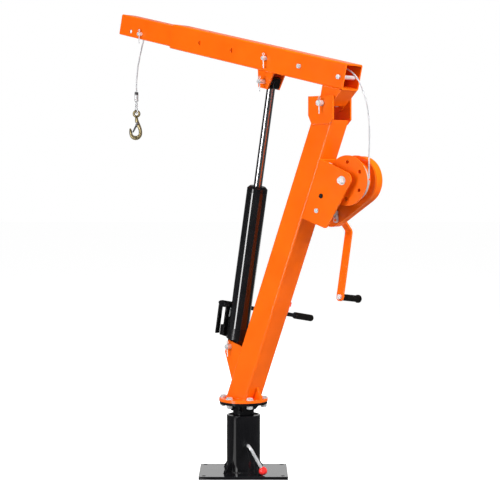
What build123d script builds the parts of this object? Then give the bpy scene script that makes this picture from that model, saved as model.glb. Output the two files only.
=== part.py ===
"""A swivelling pickup truck crane: bolted base, leaning mast, jacked telescopic boom and hand winch.

Millimetres, +Z up, origin at the middle of the base plate's underside. The base plate's long side is along X.
Above the swivel everything is placed on upright side planes: x forward to the boom tip, y up, z far.
"""

import os
from math import acos, atan2, cos, degrees, pi, radians, sin, sqrt, tan

from build123d import *

os.makedirs("parts", exist_ok=True)

# Fits and small allowances
RUNNING_FIT = 0.06
SLIP = 0.3
SIDE_GAP = 2.0

# Base plate and post
PLATE_LENGTH = 284
PLATE_WIDTH = 220
PLATE_THICK = 10
PLATE_CORNER = 2
BOLT_SPACING_X = 252
BOLT_SPACING_Y = 188
BASE_HOLE_D = 13
POST_D = 108
POST_WALL = 6
POST_HEIGHT = 183
POST_RIM = 1.2
GUSSET_COUNT = 4
GUSSET_FIRST_DEG = 45
GUSSET_REACH = 31
GUSSET_HEIGHT = 43
GUSSET_THICK = 8
POST_TOP = PLATE_THICK + POST_HEIGHT
POST_BORE = POST_D - 2 * POST_WALL

# Swivel stub, bushes and bolted flanges
STUB_D = 68
STUB_WALL = 6
THRUST_THICK = 14
BUSH_LENGTH = 42
BUSH_SUNK = 3
STUB_REVEAL = 36
FLANGE_THICK = 9
STUB_FLANGE_D = 154
MAST_FLANGE_D = 158
RIB_REACH = 26
RIB_HEIGHT = 22
RIB_THICK = 6
FLANGE_BOLT_COUNT = 6
FLANGE_BOLT_PCD = 134
FLANGE_BOLT_D = 12
FLANGE_BOLT_AF = 18
FLANGE_BOLT_HEAD = 7.5
FLANGE_NUT = 10
STUB_FOOT = PLATE_THICK + THRUST_THICK + SLIP
STUB_FLANGE_Z = POST_TOP + STUB_REVEAL
MAST_FLANGE_Z = STUB_FLANGE_Z + FLANGE_THICK
MAST_FOOT = MAST_FLANGE_Z + FLANGE_THICK

# Swivel lock: a bent screw with a ball, through a boss on the post
LOCK_TURN = 12
LOCK_HEIGHT = 102
LOCK_ROD_D = 10
LOCK_REACH = 100
LOCK_BOSS_D = 26
LOCK_BOSS_REACH = 72
LOCK_LEVER = 88
LOCK_DIP = 61
LOCK_BEND = 14
LOCK_BALL_D = 27

# Attitudes of the crane at rest
BOOM_HEADING = 138
MAST_LEAN = 22
BOOM_PITCH = 13

# Mast and its plates
TUBE = 80
TUBE_WALL = 5
TUBE_CORNER = 7
TUBE_BORE = TUBE - 2 * TUBE_WALL
MAST_TOP = 1131
FOOT_GUSSET = 40
FOOT_GUSSET_THICK = 8
FOOT_GUSSET_INSET = 1
PLATE = 6
HINGE_ALONG = 1002.4
HINGE_FRONT = 16
HINGE_PIN_D = 18
HEAD_FRONT = 53
HEAD_REAR = 43
HEAD_RISE = 22
HEAD_DROP = 62
HEAD_TAPER = 13
FOOT_PIN_ALONG = 142.4
FOOT_PIN_FRONT = 92
FOOT_PIN_D = 16
FOOT_PLATE_GAP = 48
FOOT_PLATE_TOP = 22
FOOT_PLATE_NOSE = 14
FOOT_PLATE_TAIL = 102

# Boom
BOOM_LENGTH = 748
HINGE_FROM_REAR = 62
HINGE_DROP = 52
HINGE_EYE = 24
HINGE_HEEL = 0.7
HINGE_WEB = 0.8
HINGE_PLATE_LENGTH = 78
PIN_HOLE_D = 14
PIN_HOLE_FIRST = 321
PIN_HOLE_PITCH = 146
PIN_HOLE_COUNT = 3
EXTENSION_PIN_D = 13
SET_BOLT_AT = 179
SET_BOLT_D = 8
JACK_EAR_AT = 320
JACK_EAR_DROP = 33
JACK_EAR_TOP = 67
JACK_EAR_FOOT = 38
JACK_EAR_DEPTH = 54
JACK_PIN_D = 14
JACK_EAR_GAP = 48
ROLLER_AT = 20
ROLLER_UP = 36
ROLLER_D = 13
ROLLER_BOLT_D = 8

# Inner boom
INNER = 69
INNER_WALL = 4
INNER_CORNER = 5
INNER_REAR = 56
INNER_TIP = 1004
SLIDE_TRAVEL = 240
TIP_HOLE_AT = 950
TIP_HOLE_UP = 24
TIP_PIN_AT = 897
TIP_PIN_UP = 23
TIP_PIN_D = 12
TIP_ROLLER_D = 26
TIP_SLOT_START = 5
TIP_SLOT_LENGTH = 40
TIP_SLOT_WIDTH = 16

# Jack
JACK_SLOT = 14.4
JACK_SLOT_DROP = 2.2
CYLINDER_D = 66
CYLINDER_BORE = 52
JACK_COLLAR_D = 72
JACK_COLLAR_FOOT = 24
JACK_COLLAR_TOP = 60
CYLINDER_TOP = 505
CAP_TOP = 526
CAP_D = 50
RAM_D = 27
RAM_FOOT = 320
PISTON_LENGTH = 25
LUG_R = 22
LUG_WIDTH = 40
EYE_HALF_HEIGHT = 19
EYE_WIDTH = 28
EYE_WALL = 7

# Pump on the front of the jack
PUMP_FRONT = 49
PUMP_BARREL_D = 24
PUMP_BARREL_TOP = 88
PUMP_BLOCK_HEIGHT = 34
PLUNGER_D = 16
PLUNGER_FOOT = 44
FULCRUM_UP = 130
FULCRUM_D = 10
LINK_THICK = 5
LINK_WIDTH = 16
FULCRUM_NEAR = LUG_WIDTH / 2 + LINK_WIDTH / 2
SOCKET_D = 22
SOCKET_LENGTH = 75
HANDLE_DIP = 10
HANDLE_D = 14
HANDLE_START = 18
HANDLE_END = 460
GRIP_START = 369
GRIP_END = 465
GRIP_D = 23
KNOB_AT = 329
KNOB_PIN_D = 4
KNOB_PIN_RISE = 20
KNOB_D = 11
KNOB_LENGTH = 15

# Winch: frame, gears, drum and crank
WINCH_SHEET = 5
WINCH_NEAR = -44
WINCH_FAR = 36
WINCH_TOP_RISE = 29
WINCH_TOP_REACH = 32
WINCH_TOP_ROUND = 22
WINCH_FOOT_DROP = 43.6
WINCH_FOOT_REACH = 56
WINCH_FOOT_RISE = 6
WINCH_FOOT_ROUND = 11
WINCH_BOLT_D = 10
WINCH_BOLT_FROM_FOOT = 24
WINCH_BOLT_FROM_TOP = 18
DRUM_REAR = 143
DRUM_ALONG = 814.4
DRIVE_MODULE = 2.5
DRIVE_GEAR_TEETH = 52
DRIVE_PINION_TEETH = 22
CRANK_MODULE = 2
LAY_GEAR_TEETH = 36
CRANK_PINION_TEETH = 12
LAY_FROM_DRUM_DEG = -52.5
CRANK_FROM_LAY_DEG = -90.5
PRESSURE_ANGLE = 25
TOOTH_SHARE = 0.9
ADDENDUM = 0.8
DEDENDUM = 1.1
GEAR_FACE = 10
DRUM_AXLE_D = 16
SHAFT_D = 14
DRUM_FLANGE_D = 152
DRUM_FLANGE_THICK = 3
DRUM_NEAR = -20
DRUM_FAR = 26
DRUM_CORE_R = 58.9
DRUM_HUB_R = 20
DRUM_HOLE_COUNT = 6
DRUM_HOLE_FIRST_DEG = 10
DRUM_HOLE_R = 55
DRUM_HOLE_D = 11
DRUM_HOLE_DEPTH = 12
AXLE_HEAD = 9
AXLE_HEAD_AF = 19
AXLE_WASHER = 2
AXLE_WASHER_D = 27
SHAFT_END = 3
COVER_DEPTH = 24
COVER_SHEET = 2
COVER_DRUM_R = 74
COVER_FOOT_R = 44
COVER_FOOT_DROP = 8
BRAKE_HUB_D = 50
RATCHET_TEETH = 12
RATCHET_TIP_R = 20
RATCHET_ROOT_R = 15
RATCHET_FACE = 6
RATCHET_UNDERCUT = 0.15
PAWL_PIVOT_D = 8
PAWL_PIVOT_R = 36
PAWL_PIVOT_DEG = 215
PAWL_NOSE_DEG = 152
PAWL_NOSE = 6.5
CRANK_THICK = 6
CRANK_WIDTH = 26
CRANK_LENGTH = 286
CRANK_SWING = 4
CRANK_HUB_D = 34
CRANK_COLLAR = 10
CRANK_NUT = 9
CRANK_BEND = 14
CRANK_BEAD = 8
CRANK_OFFSET = 47
CRANK_JOGGLE_AT = 66
CRANK_RETURN = 27
CRANK_GRIP_D = 21
CRANK_BEAD_D = 26
CRANK_GRIP_LENGTH = 92
GRIP_SPINDLE_D = 8

# Cable and hook
CABLE_D = 5
BEND_SHARE = 0.45
WINDING_R = DRUM_CORE_R + CABLE_D / 2 + 2 * SLIP
WINDING_PITCH = 5.5
WINDING_TURNS = 4
WINDING_START = -13.5
WINDING_SAMPLES = 48
LEAST_SELF_GAP = 0.4
REAR_BOW = ((0.5, 58, 7), (4, 118, 5), (5.5, 176, 3), (-2, 232, 1), (-19.5, 275.5, 0))
REAR_ENTRY = ((-17, 44.5), (16, 60), (54, 65.5))
REAR_RUN_END = 92
REAR_RUN_UP = 64
INNER_RUN_START = 330
TIP_APPROACH = 60
LEAVE_DEG = 80
DROP_SWING_DEG = 23
EXIT_RUN = 46
DROP_BOW = ((20, 130), (7, 85), (0, 42))
HOOK_EYE_UP = 1178
HOOK_EYE_FORWARD = 496
EYE_RING_R = 9.5
EYE_WIRE_R = 4
LOOP_R = 9.5
LOOP_TURN = 24
LOOP_NECK = 3.4
LOOP_BEND = 14
FERRULE_D = 13
FERRULE_FOOT = 1220
FERRULE_TOP = 1252
HOOK_THICK = 11
HOOK_NECK = 26
HOOK_SHOULDER = 48
HOOK_BACK = 14
HOOK_BOWL_R = 17
HOOK_DROP = 85.5
HOOK_TIP = 58
HOOK_BEND = 13
HOOK_EDGE = 4.5
LATCH_PIVOT = (3, -32)
LATCH_PIN_D = 4
LATCH_BAR_D = 4
LATCH_SHEET = 1.5

# Pins, their clips and hexagon heads
PIN_HEAD = 1.55
PIN_END = 6.5
PIN_CHAMFER = 1.2
CLIP_OUT = 12
EAR_CLIP_OUT = 20
TUBE_CLIP_OUT = 9.5
HEX_CORNER = 0.95
HEX_HEIGHT = 0.65
HEX_NUT = 0.8
CLIP_WIRE_D = 1.8
CLIP_HOLE_D = 4.2
CLIP_DROP = 32
CLIP_LEG = 1.0
CLIP_NECK = 1.0
CLIP_SHOULDER = 3.5
CLIP_EYE = 3.6
CLIP_BEND = 1.2


def upright(turn, height=0):
    """An upright plane through the swivel axis: x in a plan direction given in degrees, y up."""
    x, y = cos(radians(turn)), sin(radians(turn))
    return Plane(origin=(0, 0, height), x_dir=(x, y, 0), z_dir=(y, -x, 0))


# Planes that everything above the swivel is drawn on
SIDE = upright(BOOM_HEADING)
FORWARD = SIDE.x_dir
FAR = SIDE.z_dir


def at(plane, x, y, far=0, turn=0):
    """The plane moved to a point given in its own x, y and far, and turned about its normal."""
    return Plane(plane.location * Location((x, y, far), (0, 0, turn)))


MAST = at(SIDE, 0, MAST_FOOT, 0, MAST_LEAN)
WEB = Plane(MAST.origin, x_dir=FAR, z_dir=MAST.x_dir * -1)
HINGE = at(MAST, HINGE_FRONT, HINGE_ALONG, 0, BOOM_PITCH - MAST_LEAN)
BOOM = at(HINGE, -HINGE_FROM_REAR, HINGE_DROP)
FOOT_PIN = at(MAST, FOOT_PIN_FRONT, FOOT_PIN_ALONG)
EAR_PIN = at(BOOM, JACK_EAR_AT, -JACK_EAR_DROP)
jack_run = EAR_PIN.origin - FOOT_PIN.origin
jack_forward = jack_run.dot(FORWARD)
JACK_LENGTH = sqrt(jack_run.length**2 - (JACK_SLOT / 2) ** 2)
JACK_LEAN = degrees(atan2(-jack_forward, jack_run.Z) + atan2(JACK_SLOT / 2, JACK_LENGTH))
foot_forward = FOOT_PIN.origin.dot(FORWARD)
JACK = at(SIDE, foot_forward, FOOT_PIN.origin.Z, 0, JACK_LEAN)


def save(builder, name):
    """Labels a finished sub-part and writes its file."""
    builder.part.label = name
    export_step(builder.part, f"parts/{name}.step")


def across(plane, x, y, radius, near, far):
    """A round bar square to a side plane, from one far offset to another."""
    with BuildPart() as made:
        with BuildSketch(at(plane, x, y, near)):
            Circle(radius)
        extrude(amount=far - near)
    return made.part


def plates(outline, gap, thick, hole_at, hole_r):
    """Two equal side plates, a gap apart, from an outline of side-plane points, with one pin hole."""
    plane, points, eye = outline
    with BuildPart() as made:
        for start in (gap / 2, -gap / 2 - thick):
            with BuildSketch(plane.offset(start)):
                Polygon(*points, align=None)
                if eye:
                    with Locations(hole_at):
                        Circle(eye)
                with Locations(hole_at):
                    Circle(hole_r, mode=Mode.SUBTRACT)
            extrude(amount=thick)
    return made.part


def clip(plane, pin_r):
    """A split pin in a plane square to its clevis pin: an eye above it and two legs down through it."""
    neck = pin_r + CLIP_NECK
    shoulder = neck + CLIP_SHOULDER
    crown = shoulder + CLIP_EYE + CLIP_BEND
    half = [(CLIP_LEG, -CLIP_DROP), (CLIP_LEG, neck), (CLIP_EYE, shoulder), (CLIP_EYE, crown)]
    points = [(-x, y) for x, y in half] + half[::-1]
    eye_bend = CLIP_EYE - RUNNING_FIT
    with BuildPart() as made:
        with BuildLine(plane):
            FilletPolyline(*points, radius=[CLIP_BEND, CLIP_BEND, eye_bend, eye_bend, CLIP_BEND, CLIP_BEND])
        with BuildSketch(Plane(at(plane, -CLIP_LEG, -CLIP_DROP).origin, z_dir=plane.y_dir)):
            Circle(CLIP_WIRE_D / 2)
        sweep()
    return made.part


def pin(plane, diameter, clip_at, far):
    """A clevis pin with a far-side head and a cross hole for its clip near the other end."""
    with BuildPart() as made:
        add(across(plane, 0, 0, diameter / 2, clip_at - PIN_END, far))
        add(across(plane, 0, 0, diameter / 2 * PIN_HEAD, far, far + PLATE))
        chamfer(made.faces().sort_by(Axis(plane.origin, plane.z_dir))[0].edges(), PIN_CHAMFER)
        hole = Plane(at(plane, 0, 0, clip_at).origin, z_dir=Vector(0, 0, 1))
        with BuildSketch(hole.offset(-diameter)):
            Circle(CLIP_HOLE_D / 2)
        extrude(amount=2 * diameter, mode=Mode.SUBTRACT)
    return made.part


def gear_points(teeth, module, first_tooth_deg):
    """The outline of a spur gear with involute flanks, one tooth centred on the given direction."""
    pitch_r = teeth * module / 2
    base_r = pitch_r * cos(radians(PRESSURE_ANGLE))
    tip_r = pitch_r + ADDENDUM * module
    root_r = pitch_r - DEDENDUM * module
    rise = tan(radians(PRESSURE_ANGLE)) - radians(PRESSURE_ANGLE)
    half_at_pitch = pi / (2 * teeth) * TOOTH_SHARE
    low_r = max(base_r, root_r)
    flank = [(root_r, half_at_pitch + rise)]
    for step in range(3):
        radius = low_r + (tip_r - low_r) * step / 2
        turn = acos(min(1.0, base_r / radius))
        flank.append((radius, half_at_pitch + rise - (tan(turn) - turn)))
    points = []
    for tooth in range(teeth):
        middle = radians(first_tooth_deg) + 2 * pi * tooth / teeth
        profile = [(r, -a) for r, a in flank] + [(r, a) for r, a in reversed(flank)]
        points += [(r * cos(middle + a), r * sin(middle + a)) for r, a in profile]
    return points


# Base plate with its four floor bolt holes
with BuildPart() as base_plate:
    with BuildSketch():
        RectangleRounded(PLATE_LENGTH, PLATE_WIDTH, PLATE_CORNER)
        with GridLocations(BOLT_SPACING_X, BOLT_SPACING_Y, 2, 2):
            Circle(BASE_HOLE_D / 2, mode=Mode.SUBTRACT)
    extrude(amount=PLATE_THICK)
save(base_plate, "base_plate")

# Post: a tube with four gussets and the boss of the swivel lock
LOCK = upright(LOCK_TURN, LOCK_HEIGHT)
with BuildPart() as post:
    with BuildSketch(Plane.XY.offset(PLATE_THICK)):
        Circle(POST_D / 2)
    extrude(amount=POST_HEIGHT)
    chamfer(post.edges().group_by(Axis.Z)[-1], POST_RIM)
    for gusset in range(GUSSET_COUNT):
        with BuildSketch(upright(GUSSET_FIRST_DEG + 360 / GUSSET_COUNT * gusset)):
            Polygon(
                (POST_D / 2 - POST_WALL / 2, PLATE_THICK),
                (POST_D / 2 + GUSSET_REACH, PLATE_THICK),
                (POST_D / 2 + GUSSET_REACH, PLATE_THICK + GUSSET_THICK),
                (POST_D / 2, PLATE_THICK + GUSSET_HEIGHT),
                (POST_D / 2 - POST_WALL / 2, PLATE_THICK + GUSSET_HEIGHT),
                align=None,
            )
        extrude(amount=GUSSET_THICK / 2, both=True)
    with BuildSketch(LOCK.offset(POST_BORE / 2)):
        RegularPolygon(LOCK_BOSS_D / 2, 6)
    extrude(amount=LOCK_BOSS_REACH - POST_BORE / 2)
    with BuildSketch(Plane.XY.offset(PLATE_THICK)):
        Circle(POST_BORE / 2)
    extrude(amount=POST_HEIGHT, mode=Mode.SUBTRACT)
    with BuildSketch(LOCK):
        Circle(LOCK_ROD_D / 2 + RUNNING_FIT)
    extrude(amount=LOCK_REACH, mode=Mode.SUBTRACT)
save(post, "post")

# Thrust disc under the stub, and the two bushes that it turns in
with BuildPart() as thrust_disc:
    with BuildSketch(Plane.XY.offset(PLATE_THICK)):
        Circle(POST_BORE / 2 - SLIP)
    extrude(amount=THRUST_THICK)
save(thrust_disc, "thrust_disc")

with BuildPart() as swivel_bushes:
    for bush_foot in (STUB_FOOT + SIDE_GAP, POST_TOP - BUSH_SUNK - BUSH_LENGTH):
        with BuildSketch(Plane.XY.offset(bush_foot)):
            Circle(POST_BORE / 2)
            Circle(STUB_D / 2 + RUNNING_FIT, mode=Mode.SUBTRACT)
        extrude(amount=BUSH_LENGTH)
save(swivel_bushes, "swivel_bushes")

# Lock screw, bent into a lever, and its ball
lever_x = LOCK_LEVER * cos(radians(LOCK_DIP))
lever_y = -LOCK_LEVER * sin(radians(LOCK_DIP))
ball_share = 1 - LOCK_BALL_D / 4 / LOCK_LEVER
with BuildPart() as lock_screw:
    with BuildLine(LOCK):
        FilletPolyline(
            (0, 0, STUB_D / 2 + SLIP * 2),
            (0, 0, LOCK_REACH),
            (lever_x * ball_share, lever_y * ball_share, LOCK_REACH),
            radius=LOCK_BEND,
        )
    with BuildSketch(LOCK.offset(STUB_D / 2 + SLIP * 2)):
        Circle(LOCK_ROD_D / 2)
    sweep()
save(lock_screw, "lock_screw")

lever_way = LOCK.x_dir * lever_x + LOCK.y_dir * lever_y
BALL = Plane(at(LOCK, lever_x, lever_y, LOCK_REACH).origin, z_dir=lever_way)
with BuildPart(BALL) as lock_ball:
    Sphere(LOCK_BALL_D / 2)
    with BuildSketch(BALL.offset(-LOCK_BALL_D)):
        Circle(LOCK_ROD_D / 2 + RUNNING_FIT)
    extrude(amount=LOCK_BALL_D * 3 / 4, mode=Mode.SUBTRACT)
save(lock_ball, "lock_ball")

# Swivel stub with its flange and ribs
HEADING = Plane(origin=(0, 0, 0), x_dir=FORWARD, z_dir=(0, 0, 1))
with BuildPart() as swivel_stub:
    with BuildSketch(HEADING.offset(STUB_FOOT)):
        Circle(STUB_D / 2)
    extrude(amount=STUB_FLANGE_Z - STUB_FOOT)
    with BuildSketch(HEADING.offset(STUB_FLANGE_Z)):
        Circle(STUB_FLANGE_D / 2)
        with PolarLocations(FLANGE_BOLT_PCD / 2, FLANGE_BOLT_COUNT, start_angle=180 / FLANGE_BOLT_COUNT):
            Circle(FLANGE_BOLT_D / 2 + SLIP, mode=Mode.SUBTRACT)
    extrude(amount=FLANGE_THICK)
    for rib in range(FLANGE_BOLT_COUNT):
        with BuildSketch(upright(BOOM_HEADING + 360 / FLANGE_BOLT_COUNT * rib)):
            Polygon(
                (STUB_D / 2 - STUB_WALL / 2, STUB_FLANGE_Z),
                (STUB_D / 2 - STUB_WALL / 2, STUB_FLANGE_Z - RIB_HEIGHT),
                (STUB_D / 2 + STUB_WALL, STUB_FLANGE_Z - RIB_HEIGHT),
                (STUB_D / 2 + RIB_REACH, STUB_FLANGE_Z),
                align=None,
            )
        extrude(amount=RIB_THICK / 2, both=True)
    with BuildSketch(HEADING.offset(STUB_FOOT)):
        Circle(STUB_D / 2 - STUB_WALL)
    extrude(amount=MAST_FLANGE_Z - STUB_FOOT, mode=Mode.SUBTRACT)
save(swivel_stub, "swivel_stub")

# Mast flange with the gusset behind the mast's foot
half_foot = TUBE / 2 / cos(radians(MAST_LEAN))
gusset_tail = FOOT_GUSSET_INSET - MAST_FLANGE_D / 2
with BuildPart() as mast_flange:
    with BuildSketch(HEADING.offset(MAST_FLANGE_Z)):
        Circle(MAST_FLANGE_D / 2)
        with PolarLocations(FLANGE_BOLT_PCD / 2, FLANGE_BOLT_COUNT, start_angle=180 / FLANGE_BOLT_COUNT):
            Circle(FLANGE_BOLT_D / 2 + SLIP, mode=Mode.SUBTRACT)
    extrude(amount=FLANGE_THICK)
    with BuildSketch(SIDE):
        Polygon(
            (-half_foot, MAST_FOOT - FLANGE_THICK / 2),
            (-half_foot, MAST_FOOT),
            (-half_foot - FOOT_GUSSET * tan(radians(MAST_LEAN)), MAST_FOOT + FOOT_GUSSET),
            (gusset_tail, MAST_FOOT + FLANGE_THICK),
            (gusset_tail, MAST_FOOT - FLANGE_THICK / 2),
            align=None,
        )
    extrude(amount=FOOT_GUSSET_THICK / 2, both=True)
save(mast_flange, "mast_flange")

# Six flange bolts and their nuts
with BuildPart() as flange_bolts:
    with BuildSketch(HEADING.offset(MAST_FOOT)):
        with PolarLocations(FLANGE_BOLT_PCD / 2, FLANGE_BOLT_COUNT, start_angle=180 / FLANGE_BOLT_COUNT):
            RegularPolygon(FLANGE_BOLT_AF / 2, 6, major_radius=False)
    extrude(amount=FLANGE_BOLT_HEAD)
    with BuildSketch(HEADING.offset(STUB_FLANGE_Z - FLANGE_NUT - SIDE_GAP)):
        with PolarLocations(FLANGE_BOLT_PCD / 2, FLANGE_BOLT_COUNT, start_angle=180 / FLANGE_BOLT_COUNT):
            Circle(FLANGE_BOLT_D / 2)
    extrude(amount=FLANGE_NUT + SIDE_GAP + 2 * FLANGE_THICK)
save(flange_bolts, "flange_bolts")

with BuildPart() as flange_nuts:
    with BuildSketch(HEADING.offset(STUB_FLANGE_Z - FLANGE_NUT)):
        with PolarLocations(FLANGE_BOLT_PCD / 2, FLANGE_BOLT_COUNT, start_angle=180 / FLANGE_BOLT_COUNT):
            RegularPolygon(FLANGE_BOLT_AF / 2, 6, major_radius=False)
            Circle(FLANGE_BOLT_D / 2 + RUNNING_FIT, mode=Mode.SUBTRACT)
    extrude(amount=FLANGE_NUT)
save(flange_nuts, "flange_nuts")

# Winch centres on the mast's side plane, and the reach of its frame
drive_centres = DRIVE_MODULE * (DRIVE_GEAR_TEETH + DRIVE_PINION_TEETH) / 2
crank_centres = CRANK_MODULE * (LAY_GEAR_TEETH + CRANK_PINION_TEETH) / 2
drum_spot = (-DRUM_REAR, DRUM_ALONG)
lay_turn = radians(LAY_FROM_DRUM_DEG)
lay_spot = (drum_spot[0] + drive_centres * cos(lay_turn), drum_spot[1] + drive_centres * sin(lay_turn))
crank_turn = radians(CRANK_FROM_LAY_DEG)
crank_spot = (lay_spot[0] + crank_centres * cos(crank_turn), lay_spot[1] + crank_centres * sin(crank_turn))
winch_top = drum_spot[1] + WINCH_TOP_RISE
winch_foot = crank_spot[1] - WINCH_FOOT_DROP
winch_bolts_along = (winch_foot + WINCH_BOLT_FROM_FOOT, winch_top - WINCH_BOLT_FROM_TOP)

# Mast: a square tube, cut level at both ends
mast_way = FORWARD * -sin(radians(MAST_LEAN)) + Vector(0, 0, cos(radians(MAST_LEAN)))
stretch = 1 / cos(radians(MAST_LEAN))
with BuildPart() as mast_tube:
    with BuildSketch(HEADING.offset(MAST_FOOT)):
        RectangleRounded(TUBE * stretch, TUBE, TUBE_CORNER)
        RectangleRounded(TUBE_BORE * stretch, TUBE_BORE, TUBE_CORNER - TUBE_WALL, mode=Mode.SUBTRACT)
    extrude(amount=(MAST_TOP - MAST_FOOT) * stretch, dir=mast_way)
    for along in winch_bolts_along:
        with BuildSketch(at(WEB, 0, along, TUBE / 2 - TUBE_WALL)):
            Circle(WINCH_BOLT_D / 2 + RUNNING_FIT)
        extrude(amount=TUBE_WALL, mode=Mode.SUBTRACT)
save(mast_tube, "mast_tube")

# Head plates on the mast, upright, with the boom's hinge pin
HEAD = at(HINGE, 0, 0, 0, -BOOM_PITCH)
head_outline = [
    (HEAD_FRONT, HEAD_RISE),
    (-HEAD_REAR, HEAD_RISE),
    (-HEAD_REAR, HEAD_TAPER - HEAD_DROP),
    (HEAD_TAPER - HEAD_REAR, -HEAD_DROP),
    (HEAD_FRONT - HEAD_TAPER, -HEAD_DROP),
    (HEAD_FRONT, 2 * HEAD_TAPER - HEAD_DROP),
]
with BuildPart() as head_plates:
    add(plates((HEAD, head_outline, 0), TUBE, PLATE, (0, 0), HINGE_PIN_D / 2 + RUNNING_FIT))
save(head_plates, "head_plates")

hinge_clip_at = -TUBE / 2 - PLATE - CLIP_OUT
with BuildPart() as hinge_pin:
    add(pin(HEAD, HINGE_PIN_D, hinge_clip_at, TUBE / 2 + PLATE))
save(hinge_pin, "hinge_pin")

# Plates and pin at the jack's foot
foot_outline = [
    (TUBE / 2 - FOOT_PIN_FRONT, FOOT_PLATE_TOP),
    (FOOT_PLATE_NOSE, FOOT_PLATE_TOP - PLATE),
    (FOOT_PLATE_NOSE, -FOOT_PLATE_TOP - PLATE / 2),
    (TUBE / 2 - FOOT_PIN_FRONT, -FOOT_PLATE_TAIL),
]
with BuildPart() as jack_foot_plates:
    add(plates((FOOT_PIN, foot_outline, 0), FOOT_PLATE_GAP, PLATE, (0, 0), FOOT_PIN_D / 2 + RUNNING_FIT))
save(jack_foot_plates, "jack_foot_plates")

FOOT_LEVEL = at(FOOT_PIN, 0, 0, 0, -MAST_LEAN)
foot_clip_at = -FOOT_PLATE_GAP / 2 - PLATE - CLIP_OUT
with BuildPart() as foot_pin:
    add(pin(FOOT_LEVEL, FOOT_PIN_D, foot_clip_at, FOOT_PLATE_GAP / 2 + PLATE))
save(foot_pin, "foot_pin")

with BuildPart() as mast_pin_clips:
    add(clip(HEAD.offset(hinge_clip_at), HINGE_PIN_D / 2))
    add(clip(FOOT_LEVEL.offset(foot_clip_at), FOOT_PIN_D / 2))
save(mast_pin_clips, "mast_pin_clips")

# Boom: the outer square tube with its pin holes
SECTION = Plane(BOOM.origin, x_dir=FAR, z_dir=BOOM.x_dir)
MIDDLE = at(SECTION, 0, -TUBE / 2)
with BuildPart() as boom_tube:
    with BuildSketch(MIDDLE):
        RectangleRounded(TUBE, TUBE, TUBE_CORNER)
        RectangleRounded(TUBE_BORE, TUBE_BORE, TUBE_CORNER - TUBE_WALL, mode=Mode.SUBTRACT)
    extrude(amount=BOOM_LENGTH)
    for hole in range(PIN_HOLE_COUNT):
        along = PIN_HOLE_FIRST + hole * PIN_HOLE_PITCH
        add(across(BOOM, along, TUBE / 2, PIN_HOLE_D / 2, -TUBE, TUBE), mode=Mode.SUBTRACT)
    add(across(BOOM, ROLLER_AT, ROLLER_UP, ROLLER_BOLT_D / 2 + RUNNING_FIT, -TUBE, TUBE), mode=Mode.SUBTRACT)
    add(across(BOOM, SET_BOLT_AT, TUBE / 2, SET_BOLT_D / 2 + RUNNING_FIT, -TUBE, 0), mode=Mode.SUBTRACT)
save(boom_tube, "boom_tube")

# Hinge plates, joined by a slanting web, and jack ears under the boom
hinge_outline = [
    (SIDE_GAP, 0),
    (HINGE_PLATE_LENGTH, 0),
    (HINGE_PLATE_LENGTH, -HINGE_DROP),
    (HINGE_FROM_REAR - HINGE_EYE * HINGE_HEEL, -HINGE_DROP - HINGE_EYE * HINGE_HEEL),
]
hinge_gap = TUBE - 2 * PLATE - 2 * SIDE_GAP
with BuildPart() as boom_hinge_plates:
    hinge_spot = (HINGE_FROM_REAR, -HINGE_DROP)
    add(plates((BOOM, hinge_outline, HINGE_EYE), hinge_gap, PLATE, hinge_spot, HINGE_PIN_D / 2 + RUNNING_FIT))
    heel = Vector(*hinge_outline[3]) - Vector(*hinge_outline[0])
    with BuildSketch(at(BOOM, *hinge_outline[0], 0, degrees(atan2(heel.Y, heel.X)))):
        Rectangle(heel.length * HINGE_WEB, PLATE, align=(Align.MIN, Align.MIN))
    extrude(amount=hinge_gap / 2, both=True)
    with BuildSketch(BOOM):
        Rectangle(2 * HINGE_PLATE_LENGTH, HINGE_PLATE_LENGTH, align=(Align.CENTER, Align.MIN))
    extrude(amount=TUBE, both=True, mode=Mode.SUBTRACT)
save(boom_hinge_plates, "boom_hinge_plates")

ear_outline = [
    (JACK_EAR_AT - JACK_EAR_TOP / 2, 0),
    (JACK_EAR_AT + JACK_EAR_TOP / 2, 0),
    (JACK_EAR_AT + JACK_EAR_FOOT / 2, -JACK_EAR_DEPTH),
    (JACK_EAR_AT - JACK_EAR_FOOT / 2, -JACK_EAR_DEPTH),
]
with BuildPart() as jack_ears:
    ear_spot = (JACK_EAR_AT, -JACK_EAR_DROP)
    add(plates((BOOM, ear_outline, 0), JACK_EAR_GAP, PLATE, ear_spot, JACK_PIN_D / 2 + RUNNING_FIT))
save(jack_ears, "jack_ears")

# Boom pins with their clips, the set bolt and the rear roller on its bolt
EAR_LEVEL = at(EAR_PIN, 0, 0, 0, -BOOM_PITCH)
ear_clip_at = -JACK_EAR_GAP / 2 - PLATE - EAR_CLIP_OUT
with BuildPart() as jack_top_pin:
    add(pin(EAR_LEVEL, JACK_PIN_D, ear_clip_at, JACK_EAR_GAP / 2 + PLATE))
save(jack_top_pin, "jack_top_pin")

EXTENSION = at(BOOM, PIN_HOLE_FIRST, TUBE / 2, 0, -BOOM_PITCH)
extension_clip_at = -TUBE / 2 - TUBE_CLIP_OUT
with BuildPart() as extension_pin:
    add(pin(EXTENSION, EXTENSION_PIN_D, extension_clip_at, TUBE / 2))
save(extension_pin, "extension_pin")

with BuildPart() as boom_pin_clips:
    add(clip(EAR_LEVEL.offset(ear_clip_at), JACK_PIN_D / 2))
    add(clip(EXTENSION.offset(extension_clip_at), EXTENSION_PIN_D / 2))
save(boom_pin_clips, "boom_pin_clips")

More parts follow.
